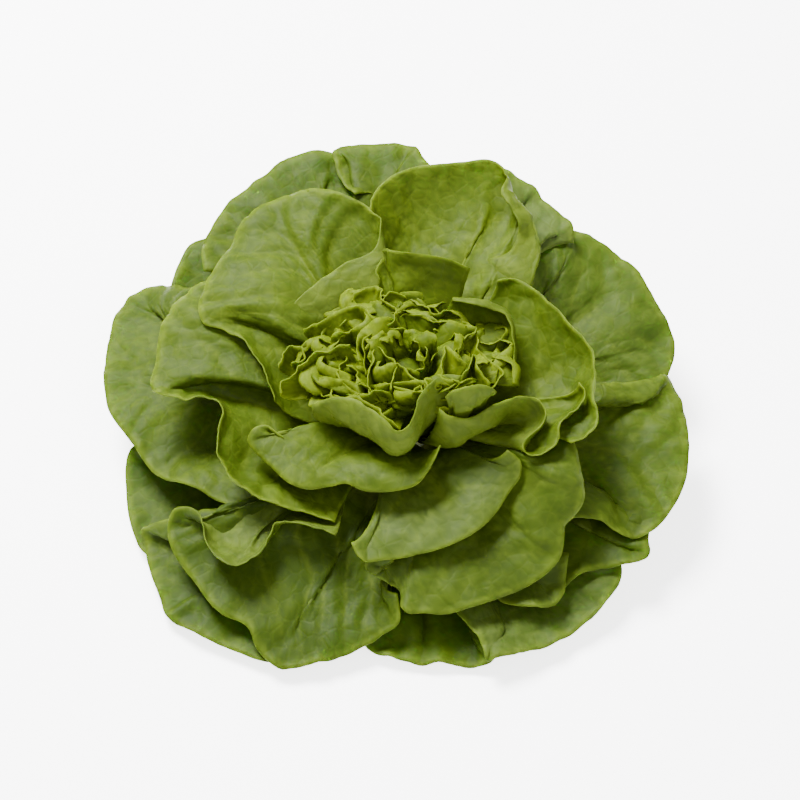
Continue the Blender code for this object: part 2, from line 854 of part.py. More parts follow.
def core_rings(placed):
    """The heart's core: a small egg, drawn in wherever a wrapper leaf comes near."""
    rings = []
    for share in np.linspace(0.0, 1.0, CORE_RINGS):
        height = CORE_BOTTOM + (CORE_TOP - CORE_BOTTOM) * share
        swell = math.sin(math.pi * share**1.3)
        centre = CORE_LEAN * share
        ring = circle(CORE_END_RADIUS + (CORE_RADIUS - CORE_END_RADIUS) * swell, height, centre, CORE_SIDES)
        middle = Vector((*centre, height))
        for i, point in enumerate(ring):
            spot = Vector(point)
            while not stands_clear(spot, placed) and (spot - middle).length > CORE_END_RADIUS / 2:
                spot = middle + (spot - middle) * CORE_SHRINK
            ring[i] = spot
        rings.append(ring)
    return np.array(rings)


def stem(slot_material):
    """The trimmed stem, with its flat cut face down."""
    bottom = stem_radius(0.0) - STEM_GAP
    levels = (
        (bottom - STEM_CHAMFER, 0.0),
        (bottom, STEM_CHAMFER),
        (bottom, TAPER_START),
        (stem_radius(STEM_TOP) - STEM_GAP, STEM_TOP),
    )
    rings = [circle(radius, height, (0.0, 0.0), STEM_SIDES) for radius, height in levels]
    return skinned(np.array(rings), "stem", slot_material)


def fill_blades():
    """The small blades of the heart with their rim knots, set out by the golden angle from a fixed seed."""
    chance = np.random.default_rng(FILL_SEED)
    made = []
    for i in range(FILL_BLADES):
        share = (i + 0.5) / FILL_BLADES
        radius = INNERMOST + FILL_SPREAD * share**SPREAD_POWER
        azimuth = i * GOLDEN_TURN
        half = INNER_HALF_TURN - HALF_TURN_LOSS * share
        turn = np.radians(azimuth + np.linspace(-half, half, FILL_KNOTS))
        wave = chance.uniform(-1.0, 1.0, (3, FILL_KNOTS))
        reach = radius * (1 + REACH_WAVE * wave[0])
        top = FILL_TOP - DOME * radius**2 - DIMPLE * np.exp(-((radius / DIMPLE_RADIUS) ** 2))
        edge = np.linspace(-1.0, 1.0, FILL_KNOTS) ** 2
        knots = np.stack(
            [
                HEART_CENTRE[0] + WIDER_ACROSS * reach * np.cos(turn),
                np.maximum(HEART_CENTRE[1] + reach * np.sin(turn), FRONT_LIMIT),
                top - END_DROP * edge + HEIGHT_WAVE * wave[1],
                LIP + LIP_WAVE * wave[2],
                np.full(FILL_KNOTS, FILL_CURL + CURL_GROWTH * radius) / MM,
            ],
            1,
        )
        blade = Leaf(
            "fill",
            azimuth,
            (),
            clasp=half,
            rise=FILL_RISE,
            push=FILL_PUSH,
            root_radius=min(INNER_ROOT + ROOT_GROWTH * radius, HEART_ROOT_RADIUS),
            root_centre=HEART_ROOT_CENTRE,
        )
        made.append((blade, knots, HEART_ROOT_HEIGHT + FILL_ROOT_LIFT))
    return made


def heart(placed, slot_material):
    """The packed heart: small blades fused on a core."""
    core = skinned(core_rings(placed), "heart", slot_material)
    repeats = bpy.data.collections.new("heart_blades")
    bpy.context.scene.collection.children.link(repeats)
    blades = []
    for blade in HEART_BLADES:
        blade = replace(
            blade,
            rise=HEART_RISE,
            clasp=HEART_CLASP,
            root_radius=HEART_ROOT_RADIUS,
            root_centre=HEART_ROOT_CENTRE,
        )
        blades.append((blade, picture_knots(blade), HEART_ROOT_HEIGHT, blade.columns))
    for blade, knots, root_height in fill_blades():
        blades.append((blade, knots, root_height, FILL_COLUMNS))
    for number, (blade, knots, root_height, columns) in enumerate(blades):
        grid = loft(blade, knots, root_height, columns, HEART_ROWS)
        grid = cleared(grid, placed)
        points, faces = blade_mesh(grid)
        made = add_object(f"heart_piece_{number:02d}", points, faces, slot_material)
        bpy.context.scene.collection.objects.unlink(made)
        repeats.objects.link(made)
    fuse(core, repeats)
    return core


def outer_shell(mesh):
    """Keeps the largest closed shell of a mesh, which fills sealed pockets and drops loose scraps."""
    whole = bmesh.new()
    whole.from_mesh(mesh)
    bmesh.ops.triangulate(whole, faces=whole.faces[:])
    waiting = set(whole.faces)
    shells = []
    while waiting:
        front = [waiting.pop()]
        shell = []
        while front:
            face = front.pop()
            shell.append(face)
            linked = {other for edge in face.edges for other in edge.link_faces} & waiting
            waiting -= linked
            front.extend(linked)
        shells.append(shell)
    shells.sort(key=lambda shell: -sum(corner_volume(face) for face in shell))
    extra = [face for shell in shells[1:] for face in shell]
    bmesh.ops.delete(whole, geom=extra, context="FACES")
    whole.to_mesh(mesh)
    whole.free()


def corner_volume(face):
    """Signed volume of the tetrahedron from the origin to a three-cornered face."""
    a, b, c = (corner.co for corner in face.verts)
    return a.dot(b.cross(c)) / 6


def fuse(body, repeats):
    """Joins the collection's bodies to the body and removes them."""
    union = body.modifiers.new("union", "BOOLEAN")
    union.operation = "UNION"
    union.operand_type = "COLLECTION"
    union.collection = repeats
    union.solver = "MANIFOLD"
    graph = bpy.context.evaluated_depsgraph_get()
    joined = bpy.data.meshes.new_from_object(body.evaluated_get(graph))
    outer_shell(joined)
    body.modifiers.clear()
    body.data = joined
    for piece in list(repeats.objects):
        bpy.data.objects.remove(piece, do_unlink=True)
    bpy.data.collections.remove(repeats)


def placed_roots():
    """Height at which each blade leaves the stem: just above those whose clasp it overlaps."""
    heights = {}
    for leaf in LEAVES:
        height = FIRST_ROOT
        for other in LEAVES:
            if other.name not in heights:
                continue
            apart = abs((leaf.azimuth - other.azimuth + 180) % 360 - 180)
            if apart < leaf.clasp + other.clasp + CLASP_SPARE:
                height = max(height, heights[other.name] + ROOT_STEP)
        heights[leaf.name] = height
    return heights


def clear_scene():
    """Removes every object of the startup scene."""
    for old in list(bpy.data.objects):
        bpy.data.objects.remove(old, do_unlink=True)


def build():
    """The whole head."""
    clear_scene()
    heights = placed_roots()
    placed = []
    for leaf in LEAVES:
        grid = loft(leaf, picture_knots(leaf), heights[leaf.name], leaf.columns, leaf.rows)
        grid = cleared(grid, placed)
        placed.append(as_placed(grid))
        points, faces = blade_mesh(grid)
        add_object(leaf.name, points, faces, leaf_material(leaf.name, LEAF_COLOUR))
    heart(placed, leaf_material("heart", HEART_COLOUR))
    stem(leaf_material("stem", STEM_COLOUR))


build()
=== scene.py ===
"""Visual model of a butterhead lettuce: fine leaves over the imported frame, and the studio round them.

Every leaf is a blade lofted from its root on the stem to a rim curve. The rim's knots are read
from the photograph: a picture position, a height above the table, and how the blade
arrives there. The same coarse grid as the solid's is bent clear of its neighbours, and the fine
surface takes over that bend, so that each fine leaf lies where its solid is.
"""

import logging
import math
from dataclasses import dataclass, field, replace
from enum import Enum

import bpy
import numpy as np
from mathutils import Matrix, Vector
from mathutils.bvhtree import BVHTree


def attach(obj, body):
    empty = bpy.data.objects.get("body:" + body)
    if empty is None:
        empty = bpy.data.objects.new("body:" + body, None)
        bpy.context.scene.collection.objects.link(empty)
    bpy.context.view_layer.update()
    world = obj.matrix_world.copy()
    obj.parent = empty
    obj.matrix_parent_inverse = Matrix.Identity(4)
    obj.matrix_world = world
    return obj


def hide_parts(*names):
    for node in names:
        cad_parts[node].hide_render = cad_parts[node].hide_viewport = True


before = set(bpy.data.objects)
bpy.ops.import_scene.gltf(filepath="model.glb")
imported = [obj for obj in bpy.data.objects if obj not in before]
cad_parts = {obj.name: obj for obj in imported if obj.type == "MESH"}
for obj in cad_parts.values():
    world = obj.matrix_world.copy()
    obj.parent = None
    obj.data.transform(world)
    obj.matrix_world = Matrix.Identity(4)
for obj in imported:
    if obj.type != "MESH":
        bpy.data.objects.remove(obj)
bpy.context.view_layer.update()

MM = 0.001
log = logging.getLogger("lettuce")


# The camera and the studio


@dataclass(frozen=True)
class View:
    """How the photograph looks at the head."""

    elevation: float = math.radians(52.0)
    distance: float = 0.900
    aim: tuple[float, float, float] = (-0.0036, 0.0137, 0.030)
    pixel_at_aim: float = 0.0004444
    picture_side: float = 800.0
    sensor: float = 36.0

    @property
    def back(self) -> np.ndarray:
        """Direction from the aim to the camera."""
        return np.array([0.0, -math.cos(self.elevation), math.sin(self.elevation)])

    @property
    def focal_pixels(self) -> float:
        """Focal length counted in pixels of the photograph."""
        return self.distance / self.pixel_at_aim

    @property
    def place(self) -> np.ndarray:
        """Where the camera stands."""
        return np.array(self.aim) + self.back * self.distance

    def seen_at(self, across: np.ndarray, down: np.ndarray, height: np.ndarray) -> np.ndarray:
        """Points at given heights that the photograph shows at given picture positions.

        Args:
            across: Picture x of each point.
            down: Picture y of each point.
            height: Height of each point above the table, in metres.

        Returns:
            The points, one row each.
        """
        right = np.array([1.0, 0.0, 0.0])
        up = np.cross(self.back, right)
        middle = self.picture_side / 2
        x = (across - middle) / self.focal_pixels
        y = (middle - down) / self.focal_pixels
        ray = -self.back + np.multiply.outer(x, right) + np.multiply.outer(y, up)
        reach = (height - self.place[2]) / ray[:, 2]
        return self.place + ray * reach[:, None]

    def add_camera(self) -> None:
        """Adds the camera and makes it the scene's."""
        data = bpy.data.cameras.new("camera")
        data.sensor_width = self.sensor
        data.lens = self.focal_pixels * self.sensor / self.picture_side
        camera = bpy.data.objects.new("camera", data)
        camera.location = Vector(self.place)
        camera.rotation_mode = "QUATERNION"
        camera.rotation_quaternion = Vector(-self.back).to_track_quat("-Z", "Y")
        bpy.context.scene.collection.objects.link(camera)
        bpy.context.scene.camera = camera


@dataclass(frozen=True)
class SoftBox:
    """One large square light."""

    name: str
    place: tuple[float, float, float]
    side: float
    power: float

    def add(self, aim: Vector) -> None:
        """Adds the light, turned to the aim.

        Args:
            aim: The point it faces.
        """
        data = bpy.data.lights.new(self.name, "AREA")
        data.size = self.side
        data.energy = self.power
        light = bpy.data.objects.new(self.name, data)
        light.location = self.place
        light.rotation_mode = "QUATERNION"
        light.rotation_quaternion = (aim - Vector(self.place)).to_track_quat("-Z", "Y")
        bpy.context.scene.collection.objects.link(light)


@dataclass(frozen=True)
class Studio:
    """A plain white table in soft light."""

    floor_side: float = 6.0
    floor_colour: float = 0.90
    floor_glow: float = 3.2
    floor_roughness: float = 0.8
    sky: float = 1.05
    lit_point: tuple[float, float, float] = (0.0, 0.0, 0.04)
    boxes: tuple[SoftBox, ...] = (
        SoftBox("key_light", (-0.45, 0.55, 1.20), 0.55, 105.0),
        SoftBox("front_light", (0.60, -0.90, 1.20), 1.2, 16.0),
    )

    def build(self) -> None:
        """Adds the table, the sky and the lights."""
        self.add_floor()
        world = bpy.data.worlds.new("studio")
        bpy.context.scene.world = world
        world.use_nodes = True
        shader = world.node_tree.nodes["Background"]
        shader.inputs["Color"].default_value = (1.0, 1.0, 1.0, 1.0)
        shader.inputs["Strength"].default_value = self.sky
        for box in self.boxes:
            box.add(Vector(self.lit_point))

    def add_floor(self) -> None:
        """Adds the table's top."""
        half = self.floor_side / 2
        mesh = bpy.data.meshes.new("floor")
        corners = [(-half, -half, 0), (half, -half, 0), (half, half, 0), (-half, half, 0)]
        mesh.from_pydata(corners, [], [(0, 1, 2, 3)])
        floor = bpy.data.objects.new("floor", mesh)
        material = bpy.data.materials.new("floor")
        material.use_nodes = True
        shader = material.node_tree.nodes["Principled BSDF"]
        white = self.floor_colour
        shader.inputs["Base Color"].default_value = (white, white, white, 1.0)
        shader.inputs["Roughness"].default_value = self.floor_roughness
        shader.inputs["Emission Color"].default_value = (1.0, 1.0, 1.0, 1.0)
        shader.inputs["Emission Strength"].default_value = self.floor_glow
        mesh.materials.append(material)
        bpy.context.scene.collection.objects.link(floor)


# Shader sums written as sums


class Wire:
    """One value or colour in a shader, which joins others by the usual signs."""

    def __init__(self, tree: bpy.types.NodeTree, socket: bpy.types.NodeSocket) -> None:
        """Keeps the tree and the socket that the value comes out of."""
        self.tree = tree
        self.socket = socket

    def feed(self, socket: bpy.types.NodeSocket, value: "Wire | float | tuple") -> None:
        """Connects a wire to a socket, or sets a plain value there.

        Args:
            socket: The socket.
            value: A wire or a plain value.
        """
        if isinstance(value, Wire):
            self.tree.links.new(value.socket, socket)
        elif isinstance(value, tuple):
            socket.default_value = (*value, 1.0)
        else:
            socket.default_value = value

    def joined(self, operation: str, other: "Wire | float", clamp: bool = False) -> "Wire":
        """This value and another put through one sum.

        Args:
            operation: The sum's kind.
            other: The second value.
            clamp: Whether 0 to 1 is kept.

        Returns:
            The result.
        """
        node = self.tree.nodes.new("ShaderNodeMath")
        node.operation = operation
        node.use_clamp = clamp
        self.feed(node.inputs[0], self)
        self.feed(node.inputs[1], other)
        return Wire(self.tree, node.outputs[0])

    def __add__(self, other: "Wire | float") -> "Wire":
        """Sum."""
        return self.joined("ADD", other)

    def __sub__(self, other: "Wire | float") -> "Wire":
        """Difference."""
        return self.joined("SUBTRACT", other)

    def __mul__(self, other: "Wire | float") -> "Wire":
        """Product."""
        return self.joined("MULTIPLY", other)

    def __rsub__(self, other: float) -> "Wire":
        """Difference from a plain value."""
        return self * -1.0 + other

    __radd__ = __add__
    __rmul__ = __mul__

    def power(self, exponent: float) -> "Wire":
        """This value to a power."""
        return self.joined("POWER", exponent)

    def clipped(self) -> "Wire":
        """This value kept from 0 to 1."""
        return self.joined("ADD", 0.0, clamp=True)

    def between(self, low: float, high: float) -> "Wire":
        """0 below low, 1 above high, and smooth in between.

        Args:
            low: Where it starts.
            high: Where it ends.

        Returns:
            The share.
        """
        node = self.tree.nodes.new("ShaderNodeMapRange")
        node.interpolation_type = "SMOOTHSTEP"
        self.feed(node.inputs["Value"], self)
        node.inputs["From Min"].default_value = low
        node.inputs["From Max"].default_value = high
        return Wire(self.tree, node.outputs["Result"])

    def mixed(self, first: "Wire | tuple", second: "Wire | tuple", blend: str = "MIX") -> "Wire":
        """The first colour where this value is 0 and the second where it is 1.

        Args:
            first: A colour or a wire.
            second: Another.
            blend: How they are put together.

        Returns:
            The colour.
        """
        node = self.tree.nodes.new("ShaderNodeMix")
        node.data_type = "RGBA"
        node.blend_type = blend
        self.feed(node.inputs[0], self)
        self.feed(node.inputs[6], first)
        self.feed(node.inputs[7], second)
        return Wire(self.tree, node.outputs[2])


Colour = tuple[float, float, float]


@dataclass(frozen=True)
class LeafFinish:
    """A leaf's colours, in linear light, and its sheen."""

    slot: str
    face: Colour
    deep: Colour
    under: Colour
    rim: Colour
    rib: Colour
    root: Colour
    # Grey of waxiness; on a shaded leaf it also stands for painted shade
    waxy_and_shade: Colour = (0.055, 0.078, 0.016)
    roughness: float = 0.58
    specular: float = 0.07
    glow: float = 0.20
    glow_depth: float = 0.0016
    cell: float = 170.0
    bump: float = 0.22
    bump_height: float = 0.0006
    broad: tuple[float, float] = (38.0, 3.0)
    fine: tuple[float, float] = (420.0, 4.0)
    broad_play: float = 1.3
    fine_play: float = 0.3
    tone_play: float = 0.9
    network_share: float = 0.07
    vein_share: float = 0.50
    rim_share: float = 0.55
    under_share: float = 0.80
    # How far the painted shade of the hollows darkens the colour
    hollow_shade_share: float = 0.42
    root_end: tuple[float, float] = (0.02, 0.36)
    glow_spread: Colour = (0.65, 1.0, 0.22)
    network_width: float = 0.16

    def build(self) -> bpy.types.Material:
        """Makes the material.

        The attribute `leaf` holds the share along the blade, the veins, the underside and the
        rim. The attribute `tone_and_light` holds the leaf's lightness and waxiness, partly painted light
        and shade, and the painted shade of the hollows.

        Returns:
            The material.
        """
        material = bpy.data.materials.new(self.slot)
        material.use_nodes = True
        tree = material.node_tree
        shader = tree.nodes["Principled BSDF"]
        along, vein, under, edge = self.attribute(tree, "leaf")
        tone_and_light, waxy_and_shade, hollow_shade, _ = self.attribute(tree, "tone_and_light")
        place = tree.nodes.new("ShaderNodeTexCoord").outputs["Object"]
        broad = self.noise(tree, place, self.broad)
        fine = self.noise(tree, place, self.fine)
        network = self.network(tree, place)

        patches = (broad - 0.5) * self.broad_play + (fine - 0.5) * self.fine_play
        # The leaf's lightness, partly its own and on some leaves painted light and shade
        patches = patches + tone_and_light * self.tone_play + 0.5
        colour = patches.clipped().mixed(self.deep, self.face)
        # Greyer with the leaf's waxiness; on wrapper_leaf_04 that greyness is painted shade
        colour = (waxy_and_shade * (broad * 0.6 + 0.6)).clipped().mixed(colour, self.waxy_and_shade)
        colour = (network * self.network_share).mixed(colour, self.rib)
        colour = (vein * self.vein_share).mixed(colour, self.rib)
        colour = (edge * self.rim_share).mixed(colour, self.rim)
        colour = (under * (1.0 - network * 0.25) * self.under_share).mixed(colour, self.under)
        rooted = 1.0 - along.between(*self.root_end)
        colour = rooted.mixed(colour, self.root)
        # Painted shade in the hollows between blisters, towards the deep colour
        colour = (hollow_shade * self.hollow_shade_share).mixed(colour, self.deep)
        tree.links.new(colour.socket, shader.inputs["Base Color"])
        sheen = (fine - 0.5) * 0.22 + (broad - 0.5) * 0.14 + self.roughness
        tree.links.new(sheen.socket, shader.inputs["Roughness"])
        shader.inputs["Specular IOR Level"].default_value = self.specular
        shader.inputs["Subsurface Weight"].default_value = self.glow
        shader.inputs["Subsurface Radius"].default_value = self.glow_spread
        shader.inputs["Subsurface Scale"].default_value = self.glow_depth
        relief = network * -0.6 + fine * 0.35 + vein * -0.5
        bump = tree.nodes.new("ShaderNodeBump")
        bump.inputs["Strength"].default_value = self.bump
        bump.inputs["Distance"].default_value = self.bump_height
        tree.links.new(relief.socket, bump.inputs["Height"])
        tree.links.new(bump.outputs["Normal"], shader.inputs["Normal"])
        return material

    def attribute(self, tree: bpy.types.NodeTree, name: str) -> list[Wire]:
        """The four numbers of a colour attribute.

        Args:
            tree: The material's nodes.
            name: The attribute's name.

        Returns:
            One wire for each number.
        """
        node = tree.nodes.new("ShaderNodeAttribute")
        node.attribute_name = name
        split = tree.nodes.new("ShaderNodeSeparateColor")
        tree.links.new(node.outputs["Color"], split.inputs["Color"])
        three = [Wire(tree, split.outputs[i]) for i in range(3)]
        return three + [Wire(tree, node.outputs["Alpha"])]

    def noise(
        self, tree: bpy.types.NodeTree, place: bpy.types.NodeSocket, kind: tuple[float, float]
    ) -> Wire:
        """Soft noise over the piece's own coordinates, of a scale and a detail.

        Args:
            tree: The material's nodes.
            place: The coordinates.
            kind: Scale and detail.

        Returns:
            The noise.
        """
        node = tree.nodes.new("ShaderNodeTexNoise")
        node.inputs["Scale"].default_value, node.inputs["Detail"].default_value = kind
        tree.links.new(place, node.inputs["Vector"])
        return Wire(tree, node.outputs["Fac"])

    def network(self, tree: bpy.types.NodeTree, place: bpy.types.NodeSocket) -> Wire:
        """1 on the net of small veins between cells, and 0 inside them.

        Args:
            tree: The material's nodes.
            place: The coordinates.

        Returns:
            The net.
        """
        node = tree.nodes.new("ShaderNodeTexVoronoi")
        node.feature = "DISTANCE_TO_EDGE"
        node.inputs["Scale"].default_value = self.cell
        tree.links.new(place, node.inputs["Vector"])
        distance = Wire(tree, node.outputs["Distance"])
        return 1.0 - distance.between(0.0, self.network_width)


class Finish(Enum):
    """The finishes of the head's leaves."""

    OUTER = LeafFinish(
        slot="outer_leaf",
        face=(0.0409, 0.0644, 0.0019),
        deep=(0.0122, 0.0252, 0.0004),
        under=(0.0557, 0.0800, 0.0087),
        rim=(0.0853, 0.1218, 0.0070),
        rib=(0.0679, 0.0957, 0.0078),
        root=(0.250, 0.290, 0.060),
    )
    WRAPPER = LeafFinish(
        slot="wrapper_leaf",
        face=(0.0496, 0.0757, 0.0016),
        deep=(0.0148, 0.0296, 0.0004),
        under=(0.0635, 0.0905, 0.0070),
        rim=(0.1027, 0.1436, 0.0070),
        rib=(0.0766, 0.1061, 0.0070),
        root=(0.250, 0.290, 0.050),
    )
    HEART = LeafFinish(
        slot="heart",
        face=(0.082, 0.116, 0.0012),
        deep=(0.026, 0.044, 0.0003),
        under=(0.086, 0.120, 0.0024),
        rim=(0.112, 0.150, 0.0036),
        rib=(0.100, 0.136, 0.0044),
        root=(0.090, 0.118, 0.0025),
    )


# Blades


def unit(vectors: np.ndarray) -> np.ndarray:
    """Vectors of length one."""
    return vectors / np.maximum(np.linalg.norm(vectors, axis=-1, keepdims=True), 1e-9)


def along(knots: np.ndarray, at: np.ndarray, count: int) -> np.ndarray:
    """Smooth curve through knots.

    Between two knots it is the cubic that has the knots' own slopes at its ends, where a knot's
    slope is the slope between its neighbours.

    Args:
        knots: One row per knot.
        at: Fraction along the curve where each knot stands.
        count: How many rows to return.

    Returns:
        The curve at evenly spaced fractions.
    """
    slopes = np.gradient(knots, at, axis=0)
    t = np.linspace(0.0, 1.0, count)
    i = np.clip(np.searchsorted(at, t, "right") - 1, 0, len(at) - 2)
    gap = (at[i + 1] - at[i])[:, None]
    w = (t - at[i])[:, None] / gap
    start = knots[i] * (1 + 2 * w) * (1 - w) ** 2 + slopes[i] * gap * w * (1 - w) ** 2
    end = knots[i + 1] * w * w * (3 - 2 * w) + slopes[i + 1] * gap * w * w * (w - 1)
    return start + end


def smoothed(rows: np.ndarray, times: int) -> np.ndarray:
    """Rows averaged with their neighbours, a number of times.

    Args:
        rows: Numbers or points along a line.
        times: How many times.

    Returns:
        The averaged rows.
    """
    for _ in range(times):
        padded = np.concatenate([rows[:1], rows, rows[-1:]])
        rows = (padded[:-2] + 2 * padded[1:-1] + padded[2:]) / 4
    return rows


def resampled(grid: np.ndarray, rows: int, columns: int) -> np.ndarray:
    """A grid of points or moves, read smoothly at more rows and columns.

    Args:
        grid: The coarse grid.
        rows: How many rows to read.
        columns: How many columns.

    Returns:
        The fine grid.
    """
    r, c, k = grid.shape
    tall = along(grid.reshape(r, c * k), np.linspace(0.0, 1.0, r), rows).reshape(rows, c, k)
    turned = tall.transpose(1, 0, 2).reshape(c, rows * k)
    wide = along(turned, np.linspace(0.0, 1.0, c), columns).reshape(columns, rows, k)
    return wide.transpose(1, 0, 2)


def facets(rows: int, columns: int) -> np.ndarray:
    """Two triangles for each cell of a grid, facing the side a leaf turns to the heart.

    Args:
        rows: Rows of points.
        columns: Columns of points.

    Returns:
        Three point numbers for each triangle.
    """
    index = np.arange(rows * columns).reshape(rows, columns)
    a, b = index[:-1, :-1].ravel(), index[1:, :-1].ravel()
    c, d = index[1:, 1:].ravel(), index[:-1, 1:].ravel()
    return np.concatenate([np.stack([a, b, d], 1), np.stack([b, c, d], 1)])


def smooth_step(values: np.ndarray, low: float, high: float) -> np.ndarray:
    """0 below low, 1 above high, and smooth in between."""
    t = np.clip((values - low) / (high - low), 0.0, 1.0)
    return t * t * (3 - 2 * t)


@dataclass(frozen=True)
class StemShape:
    """The stem, as the blades leave it."""

    root_radius: float = 0.0150
    taper_start: float = 0.0120
    taper: float = 0.35
    first_root: float = 0.0045
    root_step: float = 0.0017
    spare_turn: float = 6.0

    def radius(self, height: float) -> float:
        """Distance from the stem's axis to the roots of the blades at this height."""
        return self.root_radius - self.taper * max(0.0, height - self.taper_start)


VIEW = View()
STEM = StemShape()
STEPS_PER_COLUMN = 8
RIM_SMOOTHING = 24
TOWARD_RIM = 0.8


@dataclass(frozen=True)
class Leaf:
    """One blade. Each rim point is (picture x, picture y, height in mm, lip angle, curl in mm)."""

    name: str
    azimuth: float
    rim: tuple
    clasp: float = 42.0
    rise: float = 20.0
    push: float = 0.35
    lip: float = 0.0
    curl: float = 0.33
    columns: int = 11
    rows: int = 8
    root_radius: float = 0.0
    root_centre: tuple = (0.0, 0.0)

    def knots(self) -> np.ndarray:
        """The rim in space: x, y, z, lip angle and curl, with a curl below 0 where none is given."""
        given = [tuple(point) + (self.lip,) * (len(point) < 4) for point in self.rim]
        rows = np.array([point + (-1,) * (5 - len(point)) for point in given], float)
        return np.concatenate([VIEW.seen_at(rows[:, 0], rows[:, 1], rows[:, 2] * MM), rows[:, 3:]], 1)

    def root_line(self, height: float, fractions: np.ndarray) -> tuple[np.ndarray, np.ndarray]:
        """Where the blade leaves the stem, and the directions away from the stem there.

        Args:
            height: The root's height.
            fractions: Shares across the blade.

        Returns:
            The root's points and their directions.
        """
        angle = np.radians(self.azimuth + (2 * fractions - 1) * self.clasp)
        outward = np.stack([np.cos(angle), np.sin(angle), np.zeros(len(angle))], 1)
        centre = np.array([*self.root_centre, height])
        return centre + (self.root_radius or STEM.radius(height)) * outward, outward

    def loft(self, knots: np.ndarray, height: float, columns: int, rows: int) -> np.ndarray:
        """Middle surface of the blade.

        Each column is a cubic Bezier curve from the root line to the rim. It leaves the stem
        outward and upward by the angle `rise`, and comes to the rim against the direction that
        the lip angle gives, over a distance that the curl gives.

        Args:
            knots: The rim's knots in space.
            height: Height of the root line.
            columns: Number of columns.
            rows: Number of rows.

        Returns:
            The grid as (rows, columns, 3).
        """
        knots = knots.copy()
        step = np.linalg.norm(np.diff(knots[:, :3], axis=0), axis=1)
        at = np.concatenate([[0.0], np.cumsum(step)]) / step.sum()
        root_at_knots, _ = self.root_line(height, at)
        span = np.linalg.norm(knots[:, :3] - root_at_knots, axis=1)
        knots[:, 4] = np.where(knots[:, 4] < 0, span * self.curl, knots[:, 4] * MM)

        many = (columns - 1) * STEPS_PER_COLUMN + 1
        rim = along(knots, at, many)
        tangent = np.gradient(rim[:, :3], axis=0)
        away = np.stack([tangent[:, 1], -tangent[:, 0], np.zeros(many)], 1)
        away = unit(smoothed(unit(away), int((many / RIM_SMOOTHING) ** 2)))
        pick = np.linspace(0, many - 1, columns).round().astype(int)
        rim, away = rim[pick], away[pick]

        root, outward = self.root_line(height, np.linspace(0.0, 1.0, columns))
        end = rim[:, :3]
        length = np.linalg.norm(end - root, axis=1, keepdims=True)
        toward = unit((end - root) * np.array([1.0, 1.0, 0.0]))
        flat = unit(outward + TOWARD_RIM * toward)
        up = np.array([0.0, 0.0, 1.0])
        rise = math.radians(self.rise)
        lip = np.radians(rim[:, 3:4])
        first = root + self.push * length * (math.cos(rise) * flat + math.sin(rise) * up)
        last = end - rim[:, 4:5] * (np.cos(lip) * away + np.sin(lip) * up)
        v = np.linspace(0.0, 1.0, rows)[:, None, None]
        near = root * (1 - v) ** 3 + 3 * first * v * (1 - v) ** 2
        return near + 3 * last * v * v * (1 - v) + end * v**3


